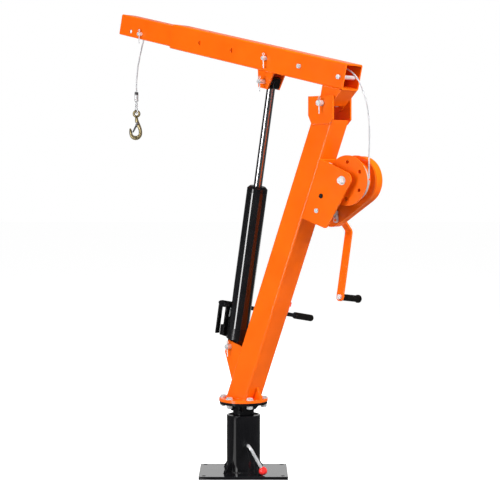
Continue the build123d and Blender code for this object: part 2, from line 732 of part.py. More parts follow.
with BuildPart() as boom_set_bolt:
    with BuildSketch(at(BOOM, SET_BOLT_AT, TUBE / 2, -TUBE / 2)):
        RegularPolygon(SET_BOLT_D * HEX_CORNER, 6)
    extrude(amount=-SET_BOLT_D * HEX_NUT)
    add(across(BOOM, SET_BOLT_AT, TUBE / 2, SET_BOLT_D / 2, -TUBE / 2, -TUBE / 2 + TUBE_WALL))
save(boom_set_bolt, "boom_set_bolt")

with BuildPart() as rear_roller_bolt:
    with BuildSketch(at(BOOM, ROLLER_AT, ROLLER_UP, -TUBE / 2)):
        RegularPolygon(ROLLER_BOLT_D * HEX_CORNER, 6)
    extrude(amount=-ROLLER_BOLT_D * HEX_HEIGHT)
    add(across(BOOM, ROLLER_AT, ROLLER_UP, ROLLER_BOLT_D / 2, -TUBE / 2, TUBE / 2))
    with BuildSketch(at(BOOM, ROLLER_AT, ROLLER_UP, TUBE / 2)):
        RegularPolygon(ROLLER_BOLT_D * HEX_CORNER, 6)
    extrude(amount=ROLLER_BOLT_D * HEX_NUT)
save(rear_roller_bolt, "rear_roller_bolt")

roller_half = TUBE / 2 - TUBE_WALL - SIDE_GAP
with BuildPart() as rear_roller:
    add(across(BOOM, ROLLER_AT, ROLLER_UP, ROLLER_D / 2, -roller_half, roller_half))
    add(across(BOOM, ROLLER_AT, ROLLER_UP, ROLLER_BOLT_D / 2 + RUNNING_FIT, -TUBE, TUBE), mode=Mode.SUBTRACT)
save(rear_roller, "rear_roller")

# Inner boom: its side slots give the pin room over the whole travel
slot_rear = PIN_HOLE_FIRST - SLIDE_TRAVEL - EXTENSION_PIN_D / 2 - SLIP
slot_front = PIN_HOLE_FIRST + EXTENSION_PIN_D / 2 + SLIP
with BuildPart() as inner_boom:
    with BuildSketch(MIDDLE.offset(INNER_REAR)):
        RectangleRounded(INNER, INNER, INNER_CORNER)
        RectangleRounded(
            INNER - 2 * INNER_WALL, INNER - 2 * INNER_WALL, INNER_CORNER - INNER_WALL, mode=Mode.SUBTRACT
        )
    extrude(amount=INNER_TIP - INNER_REAR)
    with BuildSketch(at(BOOM, (slot_rear + slot_front) / 2, TUBE / 2, -TUBE)):
        SlotOverall(slot_front - slot_rear, EXTENSION_PIN_D + 2 * SLIP)
    extrude(amount=2 * TUBE, mode=Mode.SUBTRACT)
    add(across(BOOM, TIP_HOLE_AT, TIP_HOLE_UP, TIP_PIN_D / 2 + SLIP, -TUBE, TUBE), mode=Mode.SUBTRACT)
    add(across(BOOM, TIP_PIN_AT, TIP_PIN_UP, TIP_PIN_D / 2 + RUNNING_FIT, -TUBE, TUBE), mode=Mode.SUBTRACT)
    with BuildSketch(at(BOOM, TIP_PIN_AT + TIP_SLOT_START, 0, -TIP_SLOT_WIDTH / 2)):
        Rectangle(TIP_SLOT_LENGTH, TUBE / 2 - INNER / 2 + 2 * INNER_WALL, align=(Align.MIN, Align.MIN))
    extrude(amount=TIP_SLOT_WIDTH, mode=Mode.SUBTRACT)
save(inner_boom, "inner_boom")

# Tip roller, its pin and the pin's clip
TIP = at(BOOM, TIP_PIN_AT, TIP_PIN_UP, 0, -BOOM_PITCH)
tip_clip_at = -INNER / 2 - TUBE_CLIP_OUT
tip_half = INNER / 2 - INNER_WALL - SIDE_GAP
with BuildPart() as tip_pin:
    add(pin(TIP, TIP_PIN_D, tip_clip_at, INNER / 2))
save(tip_pin, "tip_pin")

with BuildPart() as tip_clip:
    add(clip(TIP.offset(tip_clip_at), TIP_PIN_D / 2))
save(tip_clip, "tip_clip")

with BuildPart() as tip_roller:
    add(across(TIP, 0, 0, TIP_ROLLER_D / 2, -tip_half, tip_half))
    add(across(TIP, 0, 0, TIP_PIN_D / 2 + RUNNING_FIT, -TUBE, TUBE), mode=Mode.SUBTRACT)
save(tip_roller, "tip_roller")

# Jack base: foot lug, collar, pump block and barrel in one casting
JACK_UP = Plane(JACK.origin, x_dir=JACK.x_dir, z_dir=JACK.y_dir)
with BuildPart() as jack_base:
    with BuildSketch(JACK):
        Circle(LUG_R)
        with Locations((0, JACK_COLLAR_FOOT / 2)):
            Rectangle(2 * LUG_R, JACK_COLLAR_FOOT)
        Circle(FOOT_PIN_D / 2 + RUNNING_FIT, mode=Mode.SUBTRACT)
    extrude(amount=LUG_WIDTH / 2, both=True)
    with BuildSketch(JACK_UP.offset(JACK_COLLAR_FOOT)):
        Circle(JACK_COLLAR_D / 2)
    extrude(amount=JACK_COLLAR_TOP - JACK_COLLAR_FOOT)
    with BuildSketch(JACK):
        with Locations((0, JACK_COLLAR_FOOT)):
            Rectangle(PUMP_FRONT + PUMP_BARREL_D / 2, PUMP_BLOCK_HEIGHT, align=(Align.MIN, Align.MIN))
    extrude(amount=LUG_WIDTH / 2, both=True)
    with BuildSketch(at(JACK_UP, PUMP_FRONT, 0, JACK_COLLAR_FOOT)):
        Circle(PUMP_BARREL_D / 2)
    extrude(amount=PUMP_BARREL_TOP - JACK_COLLAR_FOOT)
    with BuildSketch(at(JACK_UP, PUMP_FRONT, 0, PLUNGER_FOOT - SIDE_GAP)):
        Circle(PLUNGER_D / 2 + RUNNING_FIT)
    extrude(amount=PUMP_BARREL_TOP, mode=Mode.SUBTRACT)
save(jack_base, "jack_base")

# Cylinder tube and the gland cap that the ram comes out of
with BuildPart() as jack_cylinder:
    with BuildSketch(JACK_UP.offset(JACK_COLLAR_TOP)):
        Circle(CYLINDER_D / 2)
        Circle(CYLINDER_BORE / 2, mode=Mode.SUBTRACT)
    extrude(amount=CYLINDER_TOP - JACK_COLLAR_TOP)
save(jack_cylinder, "jack_cylinder")

with BuildPart() as jack_cap:
    with BuildSketch(JACK_UP.offset(CYLINDER_TOP)):
        Circle(CYLINDER_D / 2)
    extrude(amount=CAP_TOP - CYLINDER_TOP)
    chamfer(jack_cap.edges().group_by(Axis(JACK.origin, JACK.y_dir))[-1], (CYLINDER_D - CAP_D) / 2)
    with BuildSketch(JACK_UP.offset(CYLINDER_TOP)):
        Circle(RAM_D / 2 + RUNNING_FIT)
    extrude(amount=CAP_TOP, mode=Mode.SUBTRACT)
save(jack_cap, "jack_cap")

# Ram, with its piston, and its slotted eye
with BuildPart() as jack_ram:
    with BuildSketch(JACK_UP.offset(RAM_FOOT)):
        Circle(CYLINDER_BORE / 2 - SLIP * 2)
    extrude(amount=PISTON_LENGTH)
    with BuildSketch(JACK_UP.offset(RAM_FOOT)):
        Circle(RAM_D / 2)
    extrude(amount=JACK_LENGTH - EYE_HALF_HEIGHT - RAM_FOOT)
save(jack_ram, "jack_ram")

slot_length = JACK_SLOT + JACK_PIN_D + 3 * SIDE_GAP / 2
with BuildPart() as ram_eye:
    with BuildSketch(at(JACK, 0, JACK_LENGTH)):
        RectangleRounded(slot_length + 2 * EYE_WALL, 2 * EYE_HALF_HEIGHT, EYE_WALL)
        with Locations((0, -JACK_SLOT_DROP / 2)):
            SlotOverall(slot_length, JACK_PIN_D + JACK_SLOT_DROP + SIDE_GAP, mode=Mode.SUBTRACT)
    extrude(amount=EYE_WIDTH / 2, both=True)
save(ram_eye, "ram_eye")

# Pump: two links with their pivot, the plunger, and the rocker that takes the handle
PUMP = Plane(JACK.origin, x_dir=FAR * -1, z_dir=JACK.x_dir)
link_inner = SOCKET_D / 2 + SIDE_GAP
link_start = LUG_WIDTH / 2
link_foot = JACK_COLLAR_FOOT + LINK_THICK
with BuildPart() as pump_links:
    for front in (PUMP_FRONT - link_inner - LINK_THICK, PUMP_FRONT + link_inner):
        with BuildSketch(PUMP.offset(front)):
            with Locations((link_start, link_foot)):
                Rectangle(LINK_WIDTH, FULCRUM_UP - link_foot, align=(Align.MIN, Align.MIN))
            with Locations((FULCRUM_NEAR, FULCRUM_UP)):
                Circle(LINK_WIDTH / 2)
        extrude(amount=LINK_THICK)
    with BuildSketch(at(PUMP, FULCRUM_NEAR, FULCRUM_UP, PUMP_FRONT - link_inner - 2 * LINK_THICK)):
        Circle(FULCRUM_D / 2)
    extrude(amount=2 * link_inner + 4 * LINK_THICK)
save(pump_links, "pump_links")

dip = radians(HANDLE_DIP)
handle_way = FAR * cos(dip) - JACK.y_dir * sin(dip)
FULCRUM = at(PUMP, FULCRUM_NEAR, FULCRUM_UP, PUMP_FRONT)
HANDLE = Plane(FULCRUM.origin, x_dir=JACK.x_dir, z_dir=handle_way)
dome_r = PLUNGER_D / 2
dome_drop = (dome_r + SOCKET_D / 2 + SIDE_GAP / 4 + FULCRUM_NEAR * sin(dip)) / cos(dip)
plunger_top = FULCRUM_UP - dome_drop + dome_r
with BuildPart() as pump_plunger:
    with BuildSketch(at(JACK_UP, PUMP_FRONT, 0, PLUNGER_FOOT)):
        Circle(PLUNGER_D / 2)
    extrude(amount=plunger_top - PLUNGER_FOOT)
    fillet(pump_plunger.edges().group_by(Axis(JACK.origin, JACK.y_dir))[-1], dome_r - SLIP)
save(pump_plunger, "pump_plunger")

with BuildPart() as pump_rocker:
    with BuildSketch(HANDLE.offset(-SOCKET_D / 2)):
        Circle(SOCKET_D / 2)
    extrude(amount=SOCKET_LENGTH + SOCKET_D / 2)
    with BuildSketch(HANDLE.offset(HANDLE_START)):
        Circle(HANDLE_D / 2 + RUNNING_FIT)
    extrude(amount=SOCKET_LENGTH, mode=Mode.SUBTRACT)
    with BuildSketch(FULCRUM.offset(-SOCKET_D)):
        Circle(FULCRUM_D / 2 + RUNNING_FIT)
    extrude(amount=2 * SOCKET_D, mode=Mode.SUBTRACT)
save(pump_rocker, "pump_rocker")

# Pump handle with its grip and the knobbed pin that joins its two halves
with BuildPart() as pump_handle:
    with BuildSketch(HANDLE.offset(HANDLE_START)):
        Circle(HANDLE_D / 2)
    extrude(amount=HANDLE_END - HANDLE_START)
save(pump_handle, "pump_handle")

with BuildPart() as handle_grip:
    with BuildSketch(HANDLE.offset(GRIP_START)):
        Circle(GRIP_D / 2)
    extrude(amount=GRIP_END - GRIP_START)
    fillet(handle_grip.edges().filter_by(GeomType.CIRCLE), GRIP_D / 8)
    with BuildSketch(HANDLE.offset(GRIP_START)):
        Circle(HANDLE_D / 2 + RUNNING_FIT)
    extrude(amount=HANDLE_END - GRIP_START + RUNNING_FIT, mode=Mode.SUBTRACT)
save(handle_grip, "handle_grip")

knob_way = handle_way.cross(JACK.x_dir)
KNOB = Plane(at(HANDLE, 0, 0, KNOB_AT).origin, x_dir=JACK.x_dir, z_dir=knob_way)
with BuildPart() as handle_knob:
    with BuildSketch(KNOB.offset(HANDLE_D / 2)):
        Circle(KNOB_PIN_D / 2)
    extrude(amount=KNOB_PIN_RISE)
    with BuildSketch(KNOB.offset(HANDLE_D / 2 + KNOB_PIN_RISE)):
        Circle(KNOB_D / 2)
    extrude(amount=KNOB_LENGTH)
save(handle_knob, "handle_knob")

# Winch planes: drum, layshaft, crank shaft and pawl
DRUM = at(MAST, *drum_spot)
LAY = at(MAST, *lay_spot)
CRANK = at(MAST, *crank_spot)
pawl_turn = radians(PAWL_PIVOT_DEG)
pawl_spot = (PAWL_PIVOT_R * cos(pawl_turn), PAWL_PIVOT_R * sin(pawl_turn))
PAWL = at(CRANK, *pawl_spot)
ratchet_start = WINCH_FAR - WINCH_SHEET - SIDE_GAP - RATCHET_FACE

# Winch frame: web on the mast, rounded near plate, teardrop far plate, and the pawl's stud
web_face = -TUBE / 2 - WINCH_SHEET
web_foot = (web_face, winch_foot)
rear_foot = crank_spot[0] - WINCH_FOOT_REACH + WINCH_FOOT_ROUND
near_rounds = [
    (drum_spot[0] - WINCH_TOP_REACH + WINCH_TOP_ROUND, winch_top - WINCH_TOP_ROUND, WINCH_TOP_ROUND),
    (rear_foot, winch_foot + WINCH_FOOT_RISE + WINCH_FOOT_ROUND, WINCH_FOOT_ROUND),
]
cover_rounds = [
    (*drum_spot, COVER_DRUM_R),
    (crank_spot[0], crank_spot[1] - COVER_FOOT_DROP, COVER_FOOT_R),
]
with BuildPart() as winch_frame:
    with BuildSketch(MAST.offset(WINCH_NEAR)):
        with Locations(web_foot):
            Rectangle(WINCH_SHEET, winch_top - winch_foot, align=(Align.MIN, Align.MIN))
        for x, y, radius in near_rounds:
            with Locations((x, y)):
                Circle(radius)
        make_hull()
        for spot, diameter in ((drum_spot, DRUM_AXLE_D), (lay_spot, SHAFT_D), (crank_spot, SHAFT_D)):
            with Locations(spot):
                Circle(diameter / 2 + RUNNING_FIT, mode=Mode.SUBTRACT)
    extrude(amount=WINCH_SHEET)
    with BuildSketch(MAST.offset(WINCH_FAR - WINCH_SHEET)):
        for x, y, radius in cover_rounds:
            with Locations((x, y)):
                Circle(radius)
        make_hull()
        Polygon(
            (web_face, winch_top),
            (drum_spot[0], winch_top),
            (crank_spot[0], winch_foot),
            web_foot,
            align=None,
        )
        with Locations(drum_spot):
            Circle(DRUM_HUB_R + SLIP * 2, mode=Mode.SUBTRACT)
        for spot in (lay_spot, crank_spot):
            with Locations(spot):
                Circle(SHAFT_D / 2 + RUNNING_FIT, mode=Mode.SUBTRACT)
    extrude(amount=WINCH_SHEET)
    with BuildSketch(MAST.offset(WINCH_NEAR)):
        with Locations(web_foot):
            Rectangle(WINCH_SHEET, winch_top - winch_foot, align=(Align.MIN, Align.MIN))
    extrude(amount=WINCH_FAR - WINCH_NEAR)
    for along in winch_bolts_along:
        with BuildSketch(at(WEB, 0, along, TUBE / 2)):
            Circle(WINCH_BOLT_D / 2 + RUNNING_FIT)
        extrude(amount=WINCH_SHEET, mode=Mode.SUBTRACT)
    add(across(PAWL, 0, 0, PAWL_PIVOT_D / 2, ratchet_start - SIDE_GAP, WINCH_FAR - WINCH_SHEET))
save(winch_frame, "winch_frame")

with BuildPart() as winch_bolts:
    for along in winch_bolts_along:
        with BuildSketch(at(WEB, 0, along, TUBE / 2 + WINCH_SHEET)):
            RegularPolygon(WINCH_BOLT_D * HEX_CORNER, 6)
        extrude(amount=WINCH_BOLT_D * HEX_HEIGHT)
        with BuildSketch(at(WEB, 0, along, TUBE / 2 - TUBE_WALL)):
            Circle(WINCH_BOLT_D / 2)
        extrude(amount=TUBE_WALL + WINCH_SHEET)
save(winch_bolts, "winch_bolts")

# Gear cover: a shallow teardrop shell on the far plate
with BuildPart() as gear_cover:
    for start, depth, wall, mode in (
        (WINCH_FAR, COVER_DEPTH, 0, Mode.ADD),
        (WINCH_FAR, COVER_DEPTH - COVER_SHEET, COVER_SHEET, Mode.SUBTRACT),
    ):
        with BuildSketch(MAST.offset(start)):
            for x, y, radius in cover_rounds:
                with Locations((x, y)):
                    Circle(radius - wall)
            make_hull()
        extrude(amount=depth, mode=mode)
    add(across(MAST, *crank_spot, SHAFT_D / 2 + SLIP, 0, 2 * TUBE), mode=Mode.SUBTRACT)
save(gear_cover, "gear_cover")

# Drum with its flanges, hub and drive gear, turning on a fixed axle
drive_start = WINCH_FAR + SIDE_GAP
with BuildPart() as winch_drum:
    add(across(DRUM, 0, 0, DRUM_CORE_R, DRUM_NEAR, DRUM_FAR))
    for start in (DRUM_NEAR, DRUM_FAR - DRUM_FLANGE_THICK):
        add(across(DRUM, 0, 0, DRUM_FLANGE_D / 2, start, start + DRUM_FLANGE_THICK))
    for hole in range(DRUM_HOLE_COUNT):
        turn = radians(DRUM_HOLE_FIRST_DEG) + 2 * pi * hole / DRUM_HOLE_COUNT
        spot = (DRUM_HOLE_R * cos(turn), DRUM_HOLE_R * sin(turn))
        add(across(DRUM, *spot, DRUM_HOLE_D / 2, DRUM_NEAR, DRUM_NEAR + DRUM_HOLE_DEPTH), mode=Mode.SUBTRACT)
    add(across(DRUM, 0, 0, DRUM_HUB_R, DRUM_FAR, drive_start))
    with BuildSketch(DRUM.offset(drive_start)):
        Polygon(*gear_points(DRIVE_GEAR_TEETH, DRIVE_MODULE, LAY_FROM_DRUM_DEG), align=None)
    extrude(amount=GEAR_FACE)
    add(across(DRUM, 0, 0, DRUM_AXLE_D / 2 + RUNNING_FIT, -TUBE, 2 * TUBE), mode=Mode.SUBTRACT)
save(winch_drum, "winch_drum")

with BuildPart() as drum_axle:
    add(across(DRUM, 0, 0, DRUM_AXLE_D / 2, WINCH_NEAR, drive_start + GEAR_FACE + SIDE_GAP))
    add(across(DRUM, 0, 0, AXLE_WASHER_D / 2, WINCH_NEAR - AXLE_WASHER, WINCH_NEAR))
    with BuildSketch(DRUM.offset(WINCH_NEAR - AXLE_WASHER)):
        RegularPolygon(AXLE_HEAD_AF / 2, 6, major_radius=False)
    extrude(amount=-AXLE_HEAD)
save(drum_axle, "drum_axle")

# Layshaft: big gear from the crank, small gear to the drum
crank_gear_start = WINCH_NEAR + WINCH_SHEET + SIDE_GAP
drive_mesh = LAY_FROM_DRUM_DEG + 180 + 180 / DRIVE_PINION_TEETH
with BuildPart() as layshaft:
    add(across(LAY, 0, 0, SHAFT_D / 2, WINCH_NEAR - SHAFT_END, drive_start + GEAR_FACE + SIDE_GAP))
    with BuildSketch(LAY.offset(crank_gear_start)):
        Polygon(*gear_points(LAY_GEAR_TEETH, CRANK_MODULE, CRANK_FROM_LAY_DEG), align=None)
    extrude(amount=GEAR_FACE)
    with BuildSketch(LAY.offset(drive_start)):
        Polygon(*gear_points(DRIVE_PINION_TEETH, DRIVE_MODULE, drive_mesh), align=None)
    extrude(amount=GEAR_FACE)
save(layshaft, "layshaft")

# Crank shaft: pinion, brake hub, ratchet wheel and the collar that the crank clamps to
crank_mesh = CRANK_FROM_LAY_DEG + 180 + 180 / CRANK_PINION_TEETH
cover_face = WINCH_FAR + COVER_DEPTH
hub_start = cover_face + SIDE_GAP
crank_start = hub_start + CRANK_COLLAR
shaft_end = crank_start + CRANK_THICK + CRANK_NUT + SHAFT_END
ratchet_points = []
for tooth in range(RATCHET_TEETH):
    tip_turn = 2 * pi * tooth / RATCHET_TEETH
    root_turn = 2 * pi * (tooth + RATCHET_UNDERCUT) / RATCHET_TEETH
    ratchet_points.append((RATCHET_TIP_R * cos(tip_turn), RATCHET_TIP_R * sin(tip_turn)))
    ratchet_points.append((RATCHET_ROOT_R * cos(root_turn), RATCHET_ROOT_R * sin(root_turn)))
with BuildPart() as crank_shaft:
    add(across(CRANK, 0, 0, SHAFT_D / 2, WINCH_NEAR - SHAFT_END, shaft_end))
    with BuildSketch(CRANK.offset(crank_gear_start)):
        Polygon(*gear_points(CRANK_PINION_TEETH, CRANK_MODULE, crank_mesh), align=None)
    extrude(amount=GEAR_FACE)
    add(across(CRANK, 0, 0, BRAKE_HUB_D / 2, crank_gear_start + GEAR_FACE + SIDE_GAP, ratchet_start))
    with BuildSketch(CRANK.offset(ratchet_start)):
        Polygon(*ratchet_points, align=None)
    extrude(amount=RATCHET_FACE)
    add(across(CRANK, 0, 0, CRANK_HUB_D / 2, hub_start, crank_start))
save(crank_shaft, "crank_shaft")

# Pawl, riding just clear of the ratchet teeth on its stud
nose_turn = radians(PAWL_NOSE_DEG)
nose_r = RATCHET_TIP_R + SLIP * 2
nose_spot = (nose_r * cos(nose_turn), nose_r * sin(nose_turn))
with BuildPart() as pawl:
    with BuildSketch(CRANK.offset(ratchet_start)):
        with Locations(pawl_spot):
            Circle(PAWL_PIVOT_D)
        Polygon(
            (pawl_spot[0] - PAWL_PIVOT_D, pawl_spot[1]),
            (pawl_spot[0] + PAWL_PIVOT_D / 2, pawl_spot[1] + PAWL_PIVOT_D / 2),
            nose_spot,
            (nose_spot[0] - PAWL_NOSE, nose_spot[1] - PAWL_NOSE / 4),
            align=None,
        )
        with Locations(pawl_spot):
            Circle(PAWL_PIVOT_D / 2 + RUNNING_FIT, mode=Mode.SUBTRACT)
    extrude(amount=RATCHET_FACE)
save(pawl, "pawl")

# Crank arm: a bent flat bar, with its nut, the spindle riveted into it and the grip on that
swing = radians(CRANK_SWING)
arm_way = FORWARD * sin(swing) - Vector(0, 0, cos(swing))
ARM = Plane(CRANK.origin, x_dir=FAR, z_dir=FAR.cross(arm_way))
arm_mid = crank_start + CRANK_THICK / 2
arm_points = [
    (arm_mid, -CRANK_HUB_D / 2),
    (arm_mid, CRANK_HUB_D * 2 / 3),
    (arm_mid + CRANK_OFFSET, CRANK_JOGGLE_AT),
    (arm_mid + CRANK_OFFSET - CRANK_RETURN, CRANK_LENGTH),
]
lean = atan2(CRANK_RETURN, CRANK_LENGTH - CRANK_JOGGLE_AT)
grip_way = FAR * cos(lean) + arm_way * sin(lean)
grip_back = CRANK_WIDTH / 2
grip_spot = (arm_points[3][0] + grip_back * sin(lean), CRANK_LENGTH - grip_back * cos(lean))
GRIP = Plane(at(ARM, *grip_spot).origin, z_dir=grip_way)
arm_bore = across(CRANK, 0, 0, SHAFT_D / 2 + RUNNING_FIT, crank_start, crank_start + CRANK_THICK)
with BuildPart() as crank_arm:
    with BuildSketch(ARM):
        with BuildLine():
            FilletPolyline(*arm_points, radius=CRANK_BEND)
        trace(line_width=CRANK_THICK)
    extrude(amount=CRANK_WIDTH / 2, both=True)
    ends = crank_arm.edges().filter_by(lambda e: abs(e.length - CRANK_THICK) < SLIP)
    fillet(ends, CRANK_WIDTH / 2 - SLIP)
    add(arm_bore, mode=Mode.SUBTRACT)
    with BuildSketch(GRIP):
        Circle(GRIP_SPINDLE_D / 2 + RUNNING_FIT)
    extrude(amount=CRANK_THICK, both=True, mode=Mode.SUBTRACT)
save(crank_arm, "crank_arm")

with BuildPart() as crank_fasteners:
    with BuildSketch(CRANK.offset(crank_start + CRANK_THICK)):
        RegularPolygon(SHAFT_D * HEX_CORNER, 6)
        Circle(SHAFT_D / 2 + RUNNING_FIT, mode=Mode.SUBTRACT)
    extrude(amount=CRANK_NUT)
    with BuildSketch(GRIP.offset(-CRANK_THICK / 2)):
        Circle(GRIP_SPINDLE_D)
    extrude(amount=-GRIP_SPINDLE_D * HEX_HEIGHT)
    with BuildSketch(GRIP.offset(-CRANK_THICK / 2)):
        Circle(GRIP_SPINDLE_D / 2)
    extrude(amount=CRANK_THICK + CRANK_GRIP_LENGTH)
save(crank_fasteners, "crank_fasteners")

with BuildPart() as crank_grip:
    with BuildSketch(GRIP.offset(CRANK_THICK / 2 + SIDE_GAP)):
        Circle(CRANK_GRIP_D / 2)
    extrude(amount=CRANK_GRIP_LENGTH)
    with BuildSketch(GRIP.offset(CRANK_THICK / 2 + SIDE_GAP + CRANK_GRIP_LENGTH - CRANK_BEAD)):
        Circle(CRANK_BEAD_D / 2)
    extrude(amount=CRANK_BEAD)
    fillet(crank_grip.faces().sort_by(Axis(GRIP.origin, GRIP.z_dir))[-1].edges(), CRANK_BEAD / 3)
    with BuildSketch(GRIP):
        Circle(GRIP_SPINDLE_D / 2 + RUNNING_FIT)
    extrude(amount=CRANK_THICK / 2 + CRANK_GRIP_LENGTH + SIDE_GAP / 2, mode=Mode.SUBTRACT)
save(crank_grip, "crank_grip")


def route_radii(points):
    """Bend radii of a cable route, each as large as its two runs allow."""
    radii = []
    for before, corner, after in zip(points, points[1:], points[2:]):
        run_in, run_out = Vector(*corner) - Vector(*before), Vector(*after) - Vector(*corner)
        turn = radians(run_in.get_angle(run_out))
        radii.append(BEND_SHARE * min(run_in.length, run_out.length) / tan(turn / 2))
    return radii


def cable(plane, points, radii=None):
    """A cable tube along a route of points in a side plane's x, y and far."""
    bends = radii or route_radii(points)
    print("cable bends", [round(radius) for radius in bends])
    with BuildPart() as made:
        with BuildLine(plane) as route:
            if len(points) > 2:
                FilletPolyline(*points, radius=bends)
            else:
                Line(*points)
        with BuildSketch(Plane(route.line @ 0, z_dir=route.line % 0)):
            Circle(CABLE_D / 2)
        sweep()
    return made.part


# Cable winding on the drum: one unbroken tube on quarter-turn biarcs, with straight ends
drum_side = SIDE.to_local_coords(DRUM.origin)
drum_x, drum_y = drum_side.X, drum_side.Y


def winding_point(turns):
    """A point of the winding and its direction, that many turns before the cable leaves upward."""
    angle = pi + 2 * pi * turns
    far = WINDING_START + WINDING_PITCH * (WINDING_TURNS - turns)
    spot = Vector(drum_x + WINDING_R * cos(angle), drum_y + WINDING_R * sin(angle), far)
    way = Vector(WINDING_R * sin(angle), -WINDING_R * cos(angle), WINDING_PITCH / (2 * pi))
    return SIDE.from_local_coords(spot), SIDE.from_local_coords(spot + way) - SIDE.from_local_coords(spot)


def biarc_joint(start, start_way, end, end_way):
    """The point where two tangent arcs between two ends meet."""
    run, ways, open_share = end - start, start_way + end_way, 2 * (1 - start_way.dot(end_way))
    reach = (-run.dot(ways) + sqrt(run.dot(ways) ** 2 + open_share * run.dot(run))) / open_share
    return (start + end + (start_way - end_way) * reach) * 0.5


QUARTERS = 4 * WINDING_TURNS
with BuildPart() as cable_winding:
    first_spot, first_way = winding_point(WINDING_TURNS)
    last_spot, last_way = winding_point(0)
    tail_start = first_spot - first_way.normalized() * CABLE_D
    with BuildLine() as turns:
        Line(tail_start, first_spot)
        for quarter in range(QUARTERS):
            start, start_way = winding_point((QUARTERS - quarter) / 4)
            end, end_way = winding_point((QUARTERS - quarter - 1) / 4)
            joint = biarc_joint(start, start_way.normalized(), end, end_way.normalized())
            first = TangentArc(start, joint, tangent=start_way)
            TangentArc(joint, end, tangent=first % 1)
        Line(last_spot, last_spot + last_way.normalized() * CABLE_D)
    with BuildSketch(Plane(tail_start, z_dir=first_way)):
        Circle(CABLE_D / 2)
    sweep()
save(cable_winding, "cable_winding")

spots = [winding_point(step / WINDING_SAMPLES)[0] for step in range(WINDING_TURNS * WINDING_SAMPLES + 1)]
least = min((a - b).length for i, a in enumerate(spots) for b in spots[i + WINDING_SAMPLES // 2 :])
print("winding least gap to itself", round(least - CABLE_D, 2), "wanted over", LEAST_SELF_GAP)

# Rear cable: slack, from the drum up over the rear roller and into the boom
over_pin_up = TUBE / 2 + EXTENSION_PIN_D / 2 + CABLE_D / 2 + 2 * SLIP
run_slope = (over_pin_up - REAR_RUN_UP) / (PIN_HOLE_FIRST - REAR_RUN_END)


def on_run(along):
    """A point of the cable's run inside the boom, which comes down to the top of the extension pin."""
    return (along, REAR_RUN_UP + (along - REAR_RUN_END) * run_slope, 0)


winding_end_far = WINDING_START + WINDING_PITCH * WINDING_TURNS
rear_route = [(drum_x - WINDING_R, drum_y + CABLE_D + 2 * SLIP, winding_end_far)]
rear_route += [(drum_x - WINDING_R - bow, drum_y + rise, far) for bow, rise, far in REAR_BOW]
for spot_in_boom in (*REAR_ENTRY, on_run(REAR_RUN_END - 2 * SLIP)):
    spot = SIDE.to_local_coords(BOOM.from_local_coords(Vector(*spot_in_boom)))
    rear_route.append((spot.X, spot.Y, 0))
with BuildPart() as cable_rear:
    add(cable(SIDE, rear_route))
save(cable_rear, "cable_rear")

# Cable inside the boom, then inside the inner boom and over the tip roller
with BuildPart() as cable_boom:
    add(cable(BOOM, [on_run(REAR_RUN_END), on_run(INNER_RUN_START - 2 * SLIP)]))
save(cable_boom, "cable_boom")

tip_ring = TIP_ROLLER_D / 2 + CABLE_D / 2 + SLIP
tip_top = TIP_PIN_UP + tip_ring


def past_tip(turn_deg, run):
    """The corner of a turn round the tip roller, and a point that far past the corner."""
    turn = radians(turn_deg)
    corner = TIP_PIN_AT + tip_ring * tan(turn / 2)
    return (corner, tip_top, 0), (corner + run * cos(turn), tip_top - run * sin(turn), 0)


inner_turn = LEAVE_DEG - DROP_SWING_DEG
inner_route = [on_run(INNER_RUN_START), (TIP_PIN_AT - TIP_APPROACH, tip_top, 0)]
inner_route += past_tip(inner_turn, tip_ring * tan(radians(inner_turn) / 2) + SLIP)
with BuildPart() as cable_inner:
    add(cable(BOOM, inner_route, [route_radii(inner_route[:3])[0], tip_ring]))
save(cable_inner, "cable_inner")

# Cable drop from the tip roller to the hook, with the ferrule and the loop below it
drop_route = []
for run in (tip_ring * tan(radians(LEAVE_DEG) / 2), EXIT_RUN):
    spot = SIDE.to_local_coords(BOOM.from_local_coords(Vector(*past_tip(LEAVE_DEG, run)[1])))
    drop_route.append((spot.X, spot.Y, 0))
drop_route += [(HOOK_EYE_FORWARD - back, FERRULE_TOP + rise, 0) for back, rise in DROP_BOW]
drop_route += [(HOOK_EYE_FORWARD, FERRULE_TOP, 0)]
with BuildPart() as cable_drop:
    add(cable(SIDE, drop_route))
save(cable_drop, "cable_drop")

hook_eye = SIDE.from_local_coords(Vector(HOOK_EYE_FORWARD, HOOK_EYE_UP, 0))
HOOK = Plane(hook_eye, x_dir=(1, 0, 0), z_dir=(0, -1, 0))
ferrule_low = FERRULE_FOOT - HOOK_EYE_UP
with BuildPart() as cable_ferrule:
    with BuildSketch(Plane(HOOK.origin, z_dir=(0, 0, 1)).offset(ferrule_low)):
        Circle(FERRULE_D / 2)
    extrude(amount=FERRULE_TOP - FERRULE_FOOT)
    fillet(cable_ferrule.edges().filter_by(GeomType.CIRCLE), FERRULE_D / 8)
save(cable_ferrule, "cable_ferrule")

